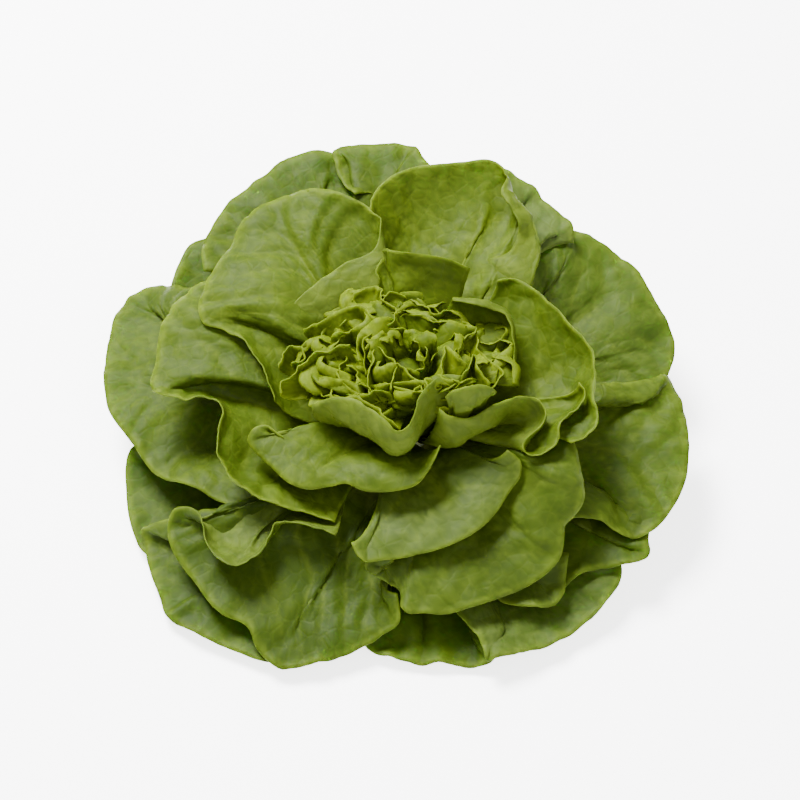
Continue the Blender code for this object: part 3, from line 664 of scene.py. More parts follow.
LEAVES: tuple[Leaf, ...] = (
    Leaf(
        "outer_leaf_01",
        190,
        (
            (185, 425, 20), (128, 456, 11), (126, 490, 7), (134, 535, 5), (143, 552, 5), (170, 562, 6),
            (205, 560, 8),
        ),
        rise=8,
    ),
    Leaf(
        "outer_leaf_02",
        148,
        (
            (240, 215, 47), (215, 232, 44), (190, 244, 41), (180, 262, 38), (172, 285, 35),
            (165, 312, 32), (162, 345, 30),
        ),
        rise=15,
        lip=10,
    ),
    Leaf(
        "outer_leaf_03",
        272,
        (
            (355, 630, 9), (372, 652, 6), (390, 658, 5), (408, 663, 4), (425, 667, 3), (436, 662, 6),
            (450, 665, 4), (470, 667, 4), (490, 664, 5), (505, 640, 9),
        ),
        rise=8,
    ),
    Leaf(
        "outer_leaf_04",
        305,
        (
            (450, 612, 15), (480, 652, 7), (486, 667, 5), (505, 663, 5), (530, 656, 5), (555, 646, 6),
            (575, 633, 7), (595, 617, 9), (610, 600, 11), (619, 586, 13), (622, 570, 15),
            (612, 545, 18),
        ),
        rise=10,
    ),
    Leaf(
        "outer_leaf_05",
        222,
        (
            (240, 506, 24), (200, 513, 18), (165, 520, 14), (141, 531, 9), (145, 547, 6), (150, 570, 5),
            (160, 597, 5), (167, 617, 5), (190, 632, 5), (215, 644, 5), (240, 654, 5), (262, 662, 5),
            (300, 660, 6), (330, 645, 8),
        ),
        rise=12,
        lip=-5,
    ),
    Leaf(
        "outer_leaf_06",
        172,
        (
            (205, 300, 40), (185, 290, 37), (158, 290, 31), (130, 302, 27), (113, 335, 26),
            (103, 382, 27), (106, 413, 25), (130, 450, 22), (150, 477, 20), (192, 492, 24),
            (236, 508, 28), (268, 506, 30),
        ),
        rise=20,
        lip=-10,
    ),
    Leaf(
        "outer_leaf_07",
        122,
        (
            (360, 195, 60), (340, 160, 62), (325, 155, 62), (305, 158, 61), (285, 164, 60),
            (265, 177, 58), (245, 192, 56), (228, 205, 54), (213, 224, 52), (203, 240, 51),
            (198, 258, 51), (200, 276, 51),
        ),
        rise=25,
        lip=5,
    ),
    Leaf(
        "outer_leaf_08",
        38,
        (
            (600, 430, 24), (660, 388, 28), (671, 368, 32), (675, 345, 35), (669, 326, 37),
            (659, 307, 40), (648, 290, 42), (638, 274, 44), (630, 265, 46), (615, 252, 48),
            (600, 242, 50), (582, 233, 52), (567, 228, 54), (545, 235, 55), (500, 275, 55),
        ),
        rise=22,
    ),
    Leaf(
        "outer_leaf_09",
        95,
        (
            (475, 185, 62), (440, 172, 65), (428, 165, 66), (415, 150, 66), (398, 147, 66),
            (378, 146, 66), (358, 148, 65), (340, 149, 64), (330, 155, 63), (332, 170, 62),
            (338, 184, 61), (352, 202, 60),
        ),
        rise=30,
        lip=10,
    ),
    Leaf(
        "outer_leaf_10",
        330,
        (
            (530, 605, 14), (563, 590, 14), (582, 577, 16), (600, 571, 17), (625, 568, 18),
            (645, 562, 19), (650, 554, 20), (648, 543, 21), (650, 525, 23), (640, 500, 25),
        ),
        rise=15,
    ),
    Leaf(
        "outer_leaf_11",
        0,
        (
            (562, 520, 34), (603, 523, 30), (620, 536, 25), (637, 541, 22), (650, 536, 22),
            (670, 514, 25), (685, 482, 28), (688, 452, 30), (684, 417, 32), (675, 390, 34),
            (667, 378, 36), (648, 380, 38), (600, 385, 44),
        ),
        rise=28,
        lip=-5,
    ),
    Leaf(
        "outer_leaf_12",
        312,
        (
            (485, 585, 20), (503, 602, 17), (520, 608, 16), (540, 611, 15), (555, 607, 15),
            (563, 598, 16), (566, 580, 18), (570, 555, 22),
        ),
        rise=20,
        lip=10,
    ),
    Leaf(
        "outer_leaf_13",
        240,
        (
            (335, 535, 40, 120, 12), (300, 521, 40, 110, 14), (273, 519, 38, 90, 16),
            (255, 556, 34, 130, 20), (235, 567, 32, 140, 20), (212, 552, 30, 120, 18),
            (200, 526, 28, 60, 18), (180, 530, 22, 30, 20), (173, 550, 16, 0, 25), (180, 585, 10),
            (200, 609, 8), (225, 632, 8), (250, 639, 8), (258, 655, 6), (280, 672, 5), (310, 668, 6),
            (345, 661, 7), (378, 650, 9), (400, 640, 12), (424, 627, 16), (425, 600, 20),
        ),
        rise=20,
        lip=-5,
        clasp=50,
        columns=18,
    ),
    Leaf(
        "outer_leaf_14",
        295,
        (
            (385, 550, 34, 30), (362, 560, 32, 30), (353, 573, 29, 10), (356, 587, 26, 0),
            (368, 599, 23, -10), (385, 608, 20, -20), (400, 620, 18, -20), (410, 625, 18, -20),
            (430, 623, 19, -20), (455, 620, 20, -20), (480, 610, 21, -20), (505, 598, 22, -20),
            (530, 586, 24, -20), (550, 571, 27, -20), (560, 558, 30, -20), (563, 540, 34, -20),
            (565, 525, 38, -30), (574, 516, 42, -40), (583, 503, 46, -40), (585, 488, 49, -40),
            (582, 470, 52, -30), (577, 450, 54, -10), (568, 430, 56, 20),
        ),
        rise=35,
        clasp=55,
        columns=16,
    ),
    Leaf(
        "outer_leaf_15",
        60,
        (
            (570, 250, 50), (568, 229, 56), (560, 220, 58), (553, 211, 60), (543, 200, 62),
            (538, 192, 63), (530, 185, 65), (520, 178, 67), (510, 170, 69), (500, 167, 70),
        ),
        rise=35,
    ),
    Leaf(
        "wrapper_leaf_01",
        172,
        (
            (240, 268, 66, 30), (215, 278, 64, 10), (198, 286, 62, 0), (180, 302, 60, -10),
            (166, 320, 58, -10), (158, 340, 56, -10), (155, 362, 54, -10), (149, 380, 53, -10),
            (155, 395, 52, 0), (175, 398, 53, 20), (200, 398, 54, 50), (215, 405, 55, 70),
            (219, 425, 55, 80), (219, 447, 54, 80), (225, 466, 50, 60), (238, 485, 47, 50),
            (255, 498, 44, 40), (280, 509, 41, 30), (305, 517, 38, 30), (335, 523, 36, 30),
        ),
        rise=40,
        clasp=55,
        columns=16,
    ),
    Leaf(
        "wrapper_leaf_02",
        75,
        (
            (485, 263, 60, 150, 25), (512, 252, 66, 155, 35), (521, 232, 72, 160, 38),
            (514, 211, 77, 160, 38), (501, 193, 79, 150, 32), (506, 175, 79, 110, 25),
            (488, 160, 79, 70, 25), (455, 162, 80, 60, 30), (425, 164, 81, 60, 30),
            (395, 172, 82, 60, 30), (378, 187, 82, 60, 30), (367, 210, 80, 60, 30),
            (380, 235, 76, 80, 30),
        ),
        rise=40,
        clasp=50,
        columns=13,
    ),
    Leaf(
        "wrapper_leaf_03",
        142,
        (
            (285, 330, 58, 170, 8), (290, 308, 66, 175, 10), (315, 282, 71, 180, 12),
            (345, 262, 75, 180, 13), (374, 246, 78, 170, 12), (376, 230, 80, 120, 14),
            (365, 212, 81, 70, 18), (345, 198, 82, 45, 25), (315, 192, 80, 20, 30),
            (285, 197, 77, 0, 30), (260, 209, 74, -5, 30), (240, 228, 71, -10, 30),
            (225, 255, 68, -15, 30), (207, 287, 64, -20, 30), (198, 312, 61, -20, 30),
            (203, 330, 59, -10, 25), (222, 336, 58, 20, 22), (238, 350, 58, 50, 20),
            (250, 370, 57, 70, 20), (260, 392, 56, 80, 20), (265, 420, 52, 80, 20),
        ),
        rise=55,
        clasp=46,
        columns=18,
    ),
    Leaf(
        "wrapper_leaf_04",
        285,
        (
            (350, 545, 38, 10), (362, 561, 36, 0), (385, 560, 35, -10), (410, 556, 35, -20),
            (435, 551, 36, -20), (460, 542, 37, -20), (480, 530, 39, -20), (497, 512, 42, -20),
            (510, 492, 45, -20), (521, 476, 48, -20), (521, 463, 51, 0), (508, 450, 54, 30),
        ),
        rise=50,
        curl=0.25,
    ),
    Leaf(
        "wrapper_leaf_05",
        12,
        (
            (575, 462, 48, 60), (590, 447, 55, 60), (599, 425, 60, 65), (600, 400, 64, 70),
            (598, 372, 68, 75), (590, 348, 71, 75), (577, 330, 73, 75), (563, 314, 75, 70),
            (545, 296, 76, 60), (530, 285, 76, 60), (517, 279, 76, 70), (500, 280, 74, 80),
        ),
        rise=50,
        push=0.45,
        clasp=55,
        curl=0.3,
    ),
    Leaf(
        "wrapper_leaf_06",
        95,
        (
            (480, 266, 64, 60), (462, 250, 70, 60), (440, 243, 73, 60), (420, 243, 74, 60),
            (400, 251, 74, 50), (384, 261, 73, 50), (374, 271, 71, 60), (372, 281, 69, 90),
        ),
        rise=55,
        push=0.45,
        curl=0.3,
    ),
    Leaf(
        "wrapper_leaf_07",
        228,
        (
            (285, 435, 52, 60, 12), (263, 425, 54, 30, 12), (253, 430, 53, 0, 14),
            (248, 440, 51, -20, 16), (256, 453, 49, -30, 16), (272, 468, 48, -30, 16),
            (290, 484, 47, -30, 16), (310, 490, 47, -30, 16), (330, 486, 48, -25, 16),
            (345, 484, 49, -20, 16), (362, 490, 49, -25, 16), (382, 492, 49, -30, 16),
            (402, 490, 50, -25, 16), (418, 484, 52, -10, 16), (428, 472, 55, 20, 16),
            (436, 457, 59, 50, 16), (442, 446, 62, 70, 16),
        ),
        rise=45,
        push=0.4,
        clasp=55,
        columns=16,
    ),
    Leaf(
        "wrapper_leaf_08",
        322,
        (
            (440, 408, 72, 115, 22), (448, 415, 71, 115, 22), (460, 418, 70, 115, 24),
            (476, 414, 70, 115, 24), (490, 407, 71, 115, 24), (503, 401, 71, 110, 24),
            (520, 398, 70, 100, 22), (534, 401, 69, 90, 20), (543, 413, 67, 80, 18),
            (539, 426, 65, 80, 16), (530, 437, 62, 70, 16), (524, 447, 60, 60, 16),
            (529, 455, 58, 50, 16), (542, 457, 58, 45, 16), (555, 452, 59, 45, 16),
            (563, 438, 61, 60, 18), (568, 424, 63, 80, 20), (579, 412, 65, 90, 22),
            (588, 402, 67, 90, 22), (588, 391, 69, 90, 22), (580, 384, 70, 90, 22),
        ),
        rise=45,
        push=0.4,
        clasp=48,
        columns=18,
    ),
    Leaf(
        "wrapper_leaf_09",
        45,
        (
            (520, 370, 64, 100, 16), (515, 345, 70, 120, 16), (510, 326, 74, 150, 14),
            (502, 313, 76, 170, 14), (490, 309, 78, 190, 14), (470, 304, 79, 190, 14),
            (452, 300, 78, 190, 12),
        ),
        rise=55,
        push=0.5,
        clasp=34,
    ),
    Leaf(
        "wrapper_leaf_10",
        325,
        (
            (441, 404, 79, 110, 22), (449, 394, 82, 115, 22), (462, 389, 84, 120, 22),
            (480, 386, 84, 120, 22), (494, 391, 83, 115, 22), (502, 400, 79, 110, 22),
        ),
        rise=60,
        push=0.4,
        clasp=34,
    ),
    Leaf(
        "wrapper_leaf_11",
        258,
        (
            (312, 405, 64, 110, 22), (330, 398, 72, 115, 24), (350, 400, 75, 120, 24),
            (368, 408, 76, 120, 24), (385, 420, 75, 115, 24), (400, 431, 73, 110, 24),
            (409, 426, 75, 110, 24), (417, 411, 78, 110, 24), (421, 398, 80, 115, 24),
            (430, 388, 81, 120, 24), (447, 381, 81, 120, 24), (470, 378, 80, 120, 24),
        ),
        rise=50,
        push=0.4,
        clasp=46,
        columns=13,
    ),
)

# The larger blades of the heart, seen in the photograph
HEART_BLADES: tuple[Leaf, ...] = (
    Leaf(
        "heart_01",
        130,
        (
            (394, 312, 75, 90), (386, 322, 75, 90), (378, 320, 75, 80), (371, 311, 75, 70),
            (362, 304, 74, 60), (348, 307, 73, 60), (332, 315, 72, 70), (318, 321, 70, 80),
            (303, 326, 68, 90),
        ),
        columns=8,
        curl=0.3,
    ),
    Leaf(
        "heart_02",
        110,
        (
            (396, 314, 74, 90), (386, 298, 73, 80), (374, 285, 72, 80), (362, 288, 71, 90),
            (350, 300, 70, 90),
        ),
        columns=6,
    ),
    Leaf(
        "heart_03",
        230,
        (
            (278, 392, 63, 70), (282, 381, 66, 70), (290, 375, 68, 70), (300, 367, 70, 80),
            (312, 356, 72, 80), (330, 347, 73, 80), (350, 346, 73, 90),
        ),
        columns=7,
    ),
    Leaf(
        "heart_04",
        170,
        (
            (283, 367, 64, 90), (285, 355, 66, 90), (291, 346, 67, 90), (301, 346, 68, 100),
            (301, 355, 67, 110), (291, 363, 66, 110),
        ),
        columns=7,
    ),
    Leaf(
        "heart_05",
        250,
        (
            (323, 402, 68, 110), (345, 397, 71, 110), (360, 400, 72, 110), (374, 408, 72, 110),
            (386, 419, 71, 110), (397, 430, 69, 100),
        ),
        columns=7,
    ),
    Leaf(
        "heart_06",
        235,
        (
            (372, 395, 72, 100), (373, 372, 74, 100), (380, 348, 75, 90), (391, 358, 75, 90),
            (396, 370, 75, 100), (395, 390, 73, 100),
        ),
        columns=6,
    ),
    Leaf(
        "heart_07",
        275,
        (
            (394, 364, 76, 90), (402, 367, 76, 100), (410, 378, 75, 110), (422, 385, 74, 110),
            (432, 384, 73, 110),
        ),
        columns=5,
    ),
    Leaf(
        "heart_08",
        320,
        (
            (464, 380, 76, 110), (468, 367, 78, 100), (473, 356, 79, 90), (481, 369, 78, 90),
            (488, 384, 76, 90),
        ),
        columns=5,
    ),
    Leaf(
        "heart_09",
        310,
        (
            (444, 378, 76, 110), (445, 358, 77, 100), (447, 338, 77, 90), (456, 346, 77, 90),
            (465, 360, 76, 90),
        ),
        columns=5,
    ),
    Leaf(
        "heart_10",
        215,
        (
            (306, 414, 68, 110), (322, 415, 69, 120), (331, 425, 68, 130), (322, 440, 64, 120),
        ),
        columns=5,
    ),
)

# Each leaf's lightness and greyness, judged from the photograph: partly its own colour, partly
# painted light on outer_leaf_06, lighter where lit, and painted shade on outer_leaf_01, darker,
# and on wrapper_leaf_04, darker and greyer

TONES_AND_LIGHT: dict[str, tuple[float, float]] = {
    # Darker: painted shade
    "outer_leaf_01": (-0.20, 0.10),
    "outer_leaf_02": (-0.10, 0.00),
    "outer_leaf_03": (-0.10, 0.00),
    "outer_leaf_04": (-0.10, 0.45),
    "outer_leaf_05": (-0.20, 0.05),
    # Lighter: painted light where the leaf is lit
    "outer_leaf_06": (0.25, 0.00),
    "outer_leaf_07": (0.00, 0.05),
    "outer_leaf_08": (0.10, 0.20),
    "outer_leaf_09": (0.15, 0.00),
    "outer_leaf_10": (0.00, 0.05),
    "outer_leaf_11": (0.20, 0.10),
    "outer_leaf_12": (0.00, 0.25),
    "outer_leaf_13": (-0.15, 0.00),
    "outer_leaf_14": (0.10, 0.10),
    "outer_leaf_15": (0.00, 0.80),
    "wrapper_leaf_01": (0.00, 0.10),
    "wrapper_leaf_02": (0.40, 0.00),
    "wrapper_leaf_03": (0.05, 0.05),
    # Darker and greyer: painted shade
    "wrapper_leaf_04": (-0.10, 0.40),
    "wrapper_leaf_05": (0.10, 0.05),
    "wrapper_leaf_06": (0.40, 0.00),
    "wrapper_leaf_07": (0.10, 0.10),
    "wrapper_leaf_08": (0.25, 0.00),
    "wrapper_leaf_09": (0.30, 0.00),
    "wrapper_leaf_10": (0.40, 0.00),
    "wrapper_leaf_11": (0.40, 0.00),
}


# Keeping blades clear of one another, as the solids were


@dataclass(frozen=True)
class Placed:
    """A blade that later ones have to clear."""

    tree: BVHTree
    corners: list
    low: np.ndarray
    high: np.ndarray

    def on_edge(self, spot: Vector, face: int, nearness: float) -> bool:
        """Whether a spot of this facet lies on the outer edge of the blade.

        Args:
            spot: The spot.
            face: The facet's number.
            nearness: How close counts as on it.

        Returns:
            Whether it does.
        """
        rows, columns = len(self.corners) - 1, len(self.corners[0]) - 1
        r, c = divmod(face % (rows * columns), columns)
        edges = []
        if c == 0:
            edges.append((self.corners[r][0], self.corners[r + 1][0]))
        if c == columns - 1:
            edges.append((self.corners[r][-1], self.corners[r + 1][-1]))
        if r == rows - 1:
            edges.append((self.corners[-1][c], self.corners[-1][c + 1]))
        for start, end in edges:
            side = end - start
            share = min(max((spot - start).dot(side) / side.length_squared, 0.0), 1.0)
            if (spot - start - share * side).length < nearness:
                return True
        return False


@dataclass
class Room:
    """The room between blades: bends each new grid clear of those placed before it."""

    clearance: float = 0.0020
    table: float = 0.0012
    passes: int = 70
    soft_passes: int = 40
    samples_per_cell: int = 4
    deep_reach: float = 0.014
    deep_passes: int = 16
    nearness: float = 0.00002
    small_move: float = 0.00002
    loose_from: float = 0.25
    kept_bend: float = 0.85
    axis_above: Vector = field(default_factory=lambda: Vector((0.004, 0.004, 0.110)))
    placed: list[Placed] = field(default_factory=list)

    def place(self, grid: np.ndarray) -> None:
        """Adds a blade that later ones have to clear.

        Args:
            grid: Its middle surface.
        """
        points = grid.reshape(-1, 3)
        tree = BVHTree.FromPolygons(points.tolist(), facets(*grid.shape[:2]).tolist())
        corners = [[Vector(point) for point in row] for row in grid.tolist()]
        self.placed.append(Placed(tree, corners, points.min(0), points.max(0)))

    def sample_weights(self, rows: int, columns: int) -> tuple[np.ndarray, np.ndarray]:
        """For samples spread over a grid's facets: the points they lie between, and their shares.

        Args:
            rows: Rows of points.
            columns: Columns of points.

        Returns:
            Three point numbers and three shares each.
        """
        down = np.linspace(0.0, rows - 1, (rows - 1) * self.samples_per_cell + 1)
        over = np.linspace(0.0, columns - 1, (columns - 1) * self.samples_per_cell + 1)
        down, over = (grid.ravel() for grid in np.meshgrid(down, over, indexing="ij"))
        r = np.minimum(down.astype(int), rows - 2)
        c = np.minimum(over.astype(int), columns - 2)
        s, t = down - r, over - c
        first = r * columns + c
        corners = np.stack([first, first + columns, first + columns + 1, first + 1], 1)
        shares = np.where(
            (s + t <= 1.0)[:, None],
            np.stack([1 - s - t, s, 0 * s, t], 1),
            np.stack([0 * s, 1 - t, s + t - 1, 1 - s], 1),
        )
        return corners, shares

    def pushes(self, points: np.ndarray, other: Placed, reach: float) -> np.ndarray:
        """How far each point has to move to stand clear on the heart side of one placed blade.

        Args:
            points: The samples.
            other: The placed blade.
            reach: How far it looks.

        Returns:
            A move for each sample.
        """
        moves = np.zeros_like(points)
        near = np.all((points > other.low - reach) & (points < other.high + reach), axis=1)
        for i in np.nonzero(near)[0]:
            point = Vector(points[i])
            spot, normal, face, distance = other.tree.find_nearest(point, reach)
            if spot is None:
                continue
            if other.on_edge(spot, face, self.nearness):
                if self.small_move < distance < self.clearance:
                    moves[i] = (point - spot) * ((self.clearance - distance) / distance)
                continue
            if normal.dot(self.axis_above - point) < 0:
                normal.negate()
            height = normal.dot(point - spot)
            if height < self.clearance:
                moves[i] = normal * (self.clearance - height)
        return moves

    def softened(self, bend: np.ndarray, loose: np.ndarray) -> np.ndarray:
        """The bend of a grid spread a little over neighbouring points, and none at the root.

        Args:
            bend: How far each point has moved.
            loose: How free each row is to move.

        Returns:
            The spread bend.
        """
        padded = np.pad(bend, ((1, 1), (1, 1), (0, 0)), mode="edge")
        around = (padded[:-2, 1:-1] + padded[2:, 1:-1] + padded[1:-1, :-2] + padded[1:-1, 2:]) / 4
        mixed = self.kept_bend * bend + (1 - self.kept_bend) * around
        return mixed * np.minimum(loose / self.loose_from, 1.0)

    def cleared(self, grid: np.ndarray) -> np.ndarray:
        """The grid bent until its facets stand clear of the placed blades and of the table.

        Args:
            grid: Middle surface as (rows, columns, 3).

        Returns:
            The bent grid.
        """
        rows, columns = grid.shape[:2]
        corners, shares = self.sample_weights(rows, columns)
        loose = np.minimum(np.linspace(0.0, 1.0, rows)[:, None, None] / self.loose_from, 1.0)
        start = grid.reshape(-1, 3)
        points = start.copy()
        for number in range(self.passes):
            reach = self.deep_reach if number < self.deep_passes else 2 * self.clearance
            samples = (points[corners] * shares[:, :, None]).sum(1)
            moves = np.zeros_like(samples)
            for other in self.placed:
                one = self.pushes(samples, other, reach)
                bigger = np.linalg.norm(one, axis=1) > np.linalg.norm(moves, axis=1)
                moves[bigger] = one[bigger]
            low = samples[:, 2] + moves[:, 2] < self.table
            moves[low, 2] = self.table - samples[low, 2]
            size = np.linalg.norm(moves, axis=1)
            if size.max() < self.small_move:
                break
            total = np.zeros_like(points)
            share = np.zeros(len(points))
            for k in range(4):
                pull = shares[:, k] * size
                np.add.at(total, corners[:, k], moves * pull[:, None])
                np.add.at(share, corners[:, k], pull)
            step = (total / np.maximum(share, 1e-12)[:, None]).reshape(rows, columns, 3)
            points = points + (step * loose).reshape(-1, 3)
            if number < self.soft_passes:
                bend = (points - start).reshape(rows, columns, 3)
                points = start + self.softened(bend, loose).reshape(-1, 3)
        return points.reshape(rows, columns, 3)


# Relief: what a real leaf's surface has that the solids don't

NOISE_GAIN = 1.6
MOST_FAN = 1.9


@dataclass
class Waves:
    """Seeded noise over a plane."""

    seed: int

    def __post_init__(self) -> None:
        """Draws the lattice's numbers."""
        chance = np.random.default_rng(self.seed)
        self.order = np.tile(chance.permutation(256), 2)
        self.turn = chance.uniform(0.0, 2 * math.pi, 256)
        self.shift = chance.uniform(0.0, 1.0, (256, 2))

    def spot(self, i: np.ndarray, j: np.ndarray) -> np.ndarray:
        """The lattice's number at whole coordinates."""
        return self.order[(self.order[i & 255] + j) & 255]

    def smooth(self, x: np.ndarray, y: np.ndarray) -> np.ndarray:
        """Gradient noise, about from -1 to 1: each lattice corner's slope, blended across the cell.

        Args:
            x: First coordinate, in cells.
            y: Second coordinate.

        Returns:
            The noise at each point.
        """
        i, j = np.floor(x).astype(int), np.floor(y).astype(int)
        s, t = x - i, y - j
        u, w = s**3 * (6 * s * s - 15 * s + 10), t**3 * (6 * t * t - 15 * t + 10)

        def corner(a: int, b: int) -> np.ndarray:
            """One corner's slope at each point."""
            angle = self.turn[self.spot(i + a, j + b)]
            return np.cos(angle) * (s - a) + np.sin(angle) * (t - b)

        low = corner(0, 0) * (1 - u) + corner(1, 0) * u
        high = corner(0, 1) * (1 - u) + corner(1, 1) * u
        return NOISE_GAIN * (low * (1 - w) + high * w)

    def cells(self, x: np.ndarray, y: np.ndarray) -> np.ndarray:
        """How far each point is from the border between two cells: 0 on it, about 0.5 inside.

        Args:
            x: First coordinate, in cells.
            y: Second coordinate.

        Returns:
            The distance of each point.
        """
        i, j = np.floor(x).astype(int), np.floor(y).astype(int)
        nearest = np.full(x.shape, np.inf)
        second = np.full(x.shape, np.inf)
        for a in (-1, 0, 1):
            for b in (-1, 0, 1):
                shift = self.shift[self.spot(i + a, j + b)]
                d = np.hypot(i + a + shift[..., 0] - x, j + b + shift[..., 1] - y)
                second = np.minimum(second, np.maximum(nearest, d))
                nearest = np.minimum(nearest, d)
        return second - nearest


@dataclass(frozen=True)
class Relief:
    """Heights of the leaf's surface over its middle, in metres, for a blade laid out as a fan.

    A point a distance r along the blade and a share u across it lies at X = r cos(angle) and
    Y = r sin(angle), where the angle goes from minus to plus the rim's length over twice the
    blade's length. Side veins leave the midrib at a slant, and the blade swells between them.
    """

    undulation: float = 0.0021
    undulation_cell: float = 0.030
    vein_spacing: float = 0.0150
    vein_slant: float = 0.62
    swell: float = 0.0014
    blister: float = 0.0009
    blister_cell: float = 0.0105
    pucker: float = 0.00035
    pucker_cell: float = 0.0048
    vein_bend: float = 0.30
    vein_bend_cell: float = 0.022
    vein_width: float = 0.0011
    rib_clear: tuple[float, float] = (0.001, 0.010)
    warp: float = 0.0022
    warp_cell: float = 0.009
    patch_cell: float = 0.040
    patch_play: float = 0.45
    rib_depth: float = 0.0009
    rib_width: float = 0.0022
    rib_widening: float = 0.0028
    ruffle: float = 0.0016
    ruffle_cell: float = 0.012
    thickness: float = 0.00065
    rim_thickness: float = 0.00045
    rib_height: float = 0.0016
    vein_height: float = 0.0003
    root_fade: tuple[float, float] = (0.02, 0.30)
    over_table: float = 0.0007
    under_table: float = 0.0002
    scale: float = 1.0

    def laid_out(self, grid: np.ndarray) -> tuple[np.ndarray, np.ndarray, np.ndarray]:
        """The fan coordinates of each point, and the share along the blade.

        Args:
            grid: Middle surface as (rows, columns, 3).

        Returns:
            X, Y and the share v.
        """
        rows, columns = grid.shape[:2]
        steps = np.linalg.norm(np.diff(grid, axis=0), axis=2)
        reach = np.concatenate([np.zeros((1, columns)), np.cumsum(steps, axis=0)])
        length = reach[-1].mean()
        rim = np.linalg.norm(np.diff(grid[-1], axis=0), axis=1).sum()
        half = min(rim / (2 * length), MOST_FAN)
        angle = np.linspace(-half, half, columns)[None, :]
        share = np.broadcast_to(np.linspace(0.0, 1.0, rows)[:, None], (rows, columns))
        return reach * np.cos(angle), reach * np.sin(angle), share

    def shaped(self, grid: np.ndarray, seed: int) -> tuple[np.ndarray, np.ndarray, np.ndarray, np.ndarray]:
        """The surface's two faces and what colours them.

        Args:
            grid: Middle surface as (rows, columns, 3).
            seed: Seed of this leaf's noise.

        Returns:
            The heart-side face, the outer face, the vein mask and the mask of painted shade in the
            hollows.
        """
        x, y, v = self.laid_out(grid)
        waves = Waves(seed)
        k = self.scale
        fade = smooth_step(v, *self.root_fade)

        # Each noise is read at a shift of its own, so that no two are alike
        cell = self.undulation_cell * k
        broad = waves.smooth(x / cell, y / cell + 7.3)
        cell = self.vein_bend_cell * k
        bend = waves.smooth(x / cell + 31.0, y / cell)
        cell = self.warp_cell * k
        warp_x = x + self.warp * k * waves.smooth(x / cell, y / cell + 50.0)
        warp_y = y + self.warp * k * waves.smooth(x / cell + 90.0, y / cell)
        cell = self.patch_cell * k
        patch = 1 - self.patch_play + self.patch_play * waves.smooth(x / cell + 12.0, y / cell + 3.0)
        cell = self.ruffle_cell * k
        frill = waves.smooth(y / cell + 5.0, x / (0.05 * k))
        frill = frill + 0.45 * waves.smooth(y / (0.45 * cell), x / (0.03 * k) + 40.0)
        blister = waves.cells(warp_x / (self.blister_cell * k), warp_y / (self.blister_cell * k))
        pucker = waves.cells(warp_x / (self.pucker_cell * k), warp_y / (self.pucker_cell * k))

        # Side veins run forward from the midrib, half a spacing apart on its two sides
        phase = (x - self.vein_slant * np.abs(y) * (1 - 0.25 * v)) / (self.vein_spacing * k)
        phase = phase + self.vein_bend * bend + 0.5 * (y > 0)
        part = phase - np.floor(phase)
        off_rib = smooth_step(np.abs(y), self.rib_clear[0] * k, self.rib_clear[1] * k)
        to_vein = np.minimum(part, 1 - part) * self.vein_spacing * k
        vein = np.exp(-((to_vein / (self.vein_width * k)) ** 2)) * off_rib * smooth_step(v, 0.10, 0.3)
        vein = vein * (1 - 0.75 * smooth_step(v, 0.62, 0.98))
        width = (self.rib_width + self.rib_widening * (1 - v)) * k
        rib = np.exp(-((y / width) ** 2)) * (1 - smooth_step(v, 0.55, 0.9))

        height = self.undulation * broad * smooth_step(v, 0.1, 0.5)
        height = height + self.swell * np.sin(math.pi * part) ** 2 * off_rib * patch
        height = height + self.blister * smooth_step(blister, 0.0, 0.55) * patch
        height = height + self.pucker * smooth_step(pucker, 0.0, 0.5)
        height = height - self.rib_depth * rib
        height = (height + self.ruffle * frill * smooth_step(v, 0.80, 1.0)) * fade * k
        normal = unit(np.cross(np.gradient(grid, axis=0), np.gradient(grid, axis=1)))
        middle = grid + normal * height[..., None]
        middle[..., 2] = np.maximum(middle[..., 2], self.over_table)

        half = (self.rim_thickness + (self.thickness - self.rim_thickness) * (1 - v**6)) / 2
        under = self.rib_height * rib * (1 - v) ** 0.7 + self.vein_height * vein
        normal = unit(np.cross(np.gradient(middle, axis=0), np.gradient(middle, axis=1)))
        inner = middle + normal * half[..., None]
        outer = middle - normal * (half + under * smooth_step(v, 0.0, 0.12))[..., None]
        outer[..., 2] = np.maximum(outer[..., 2], self.under_table)
        # Painted shade: 1 in the valleys between blisters and puckers
        hollow_shade = 1 - smooth_step(blister, 0.0, 0.30) * smooth_step(pucker, 0.0, 0.22)
        return inner, outer, np.maximum(vein, rib), hollow_shade * fade


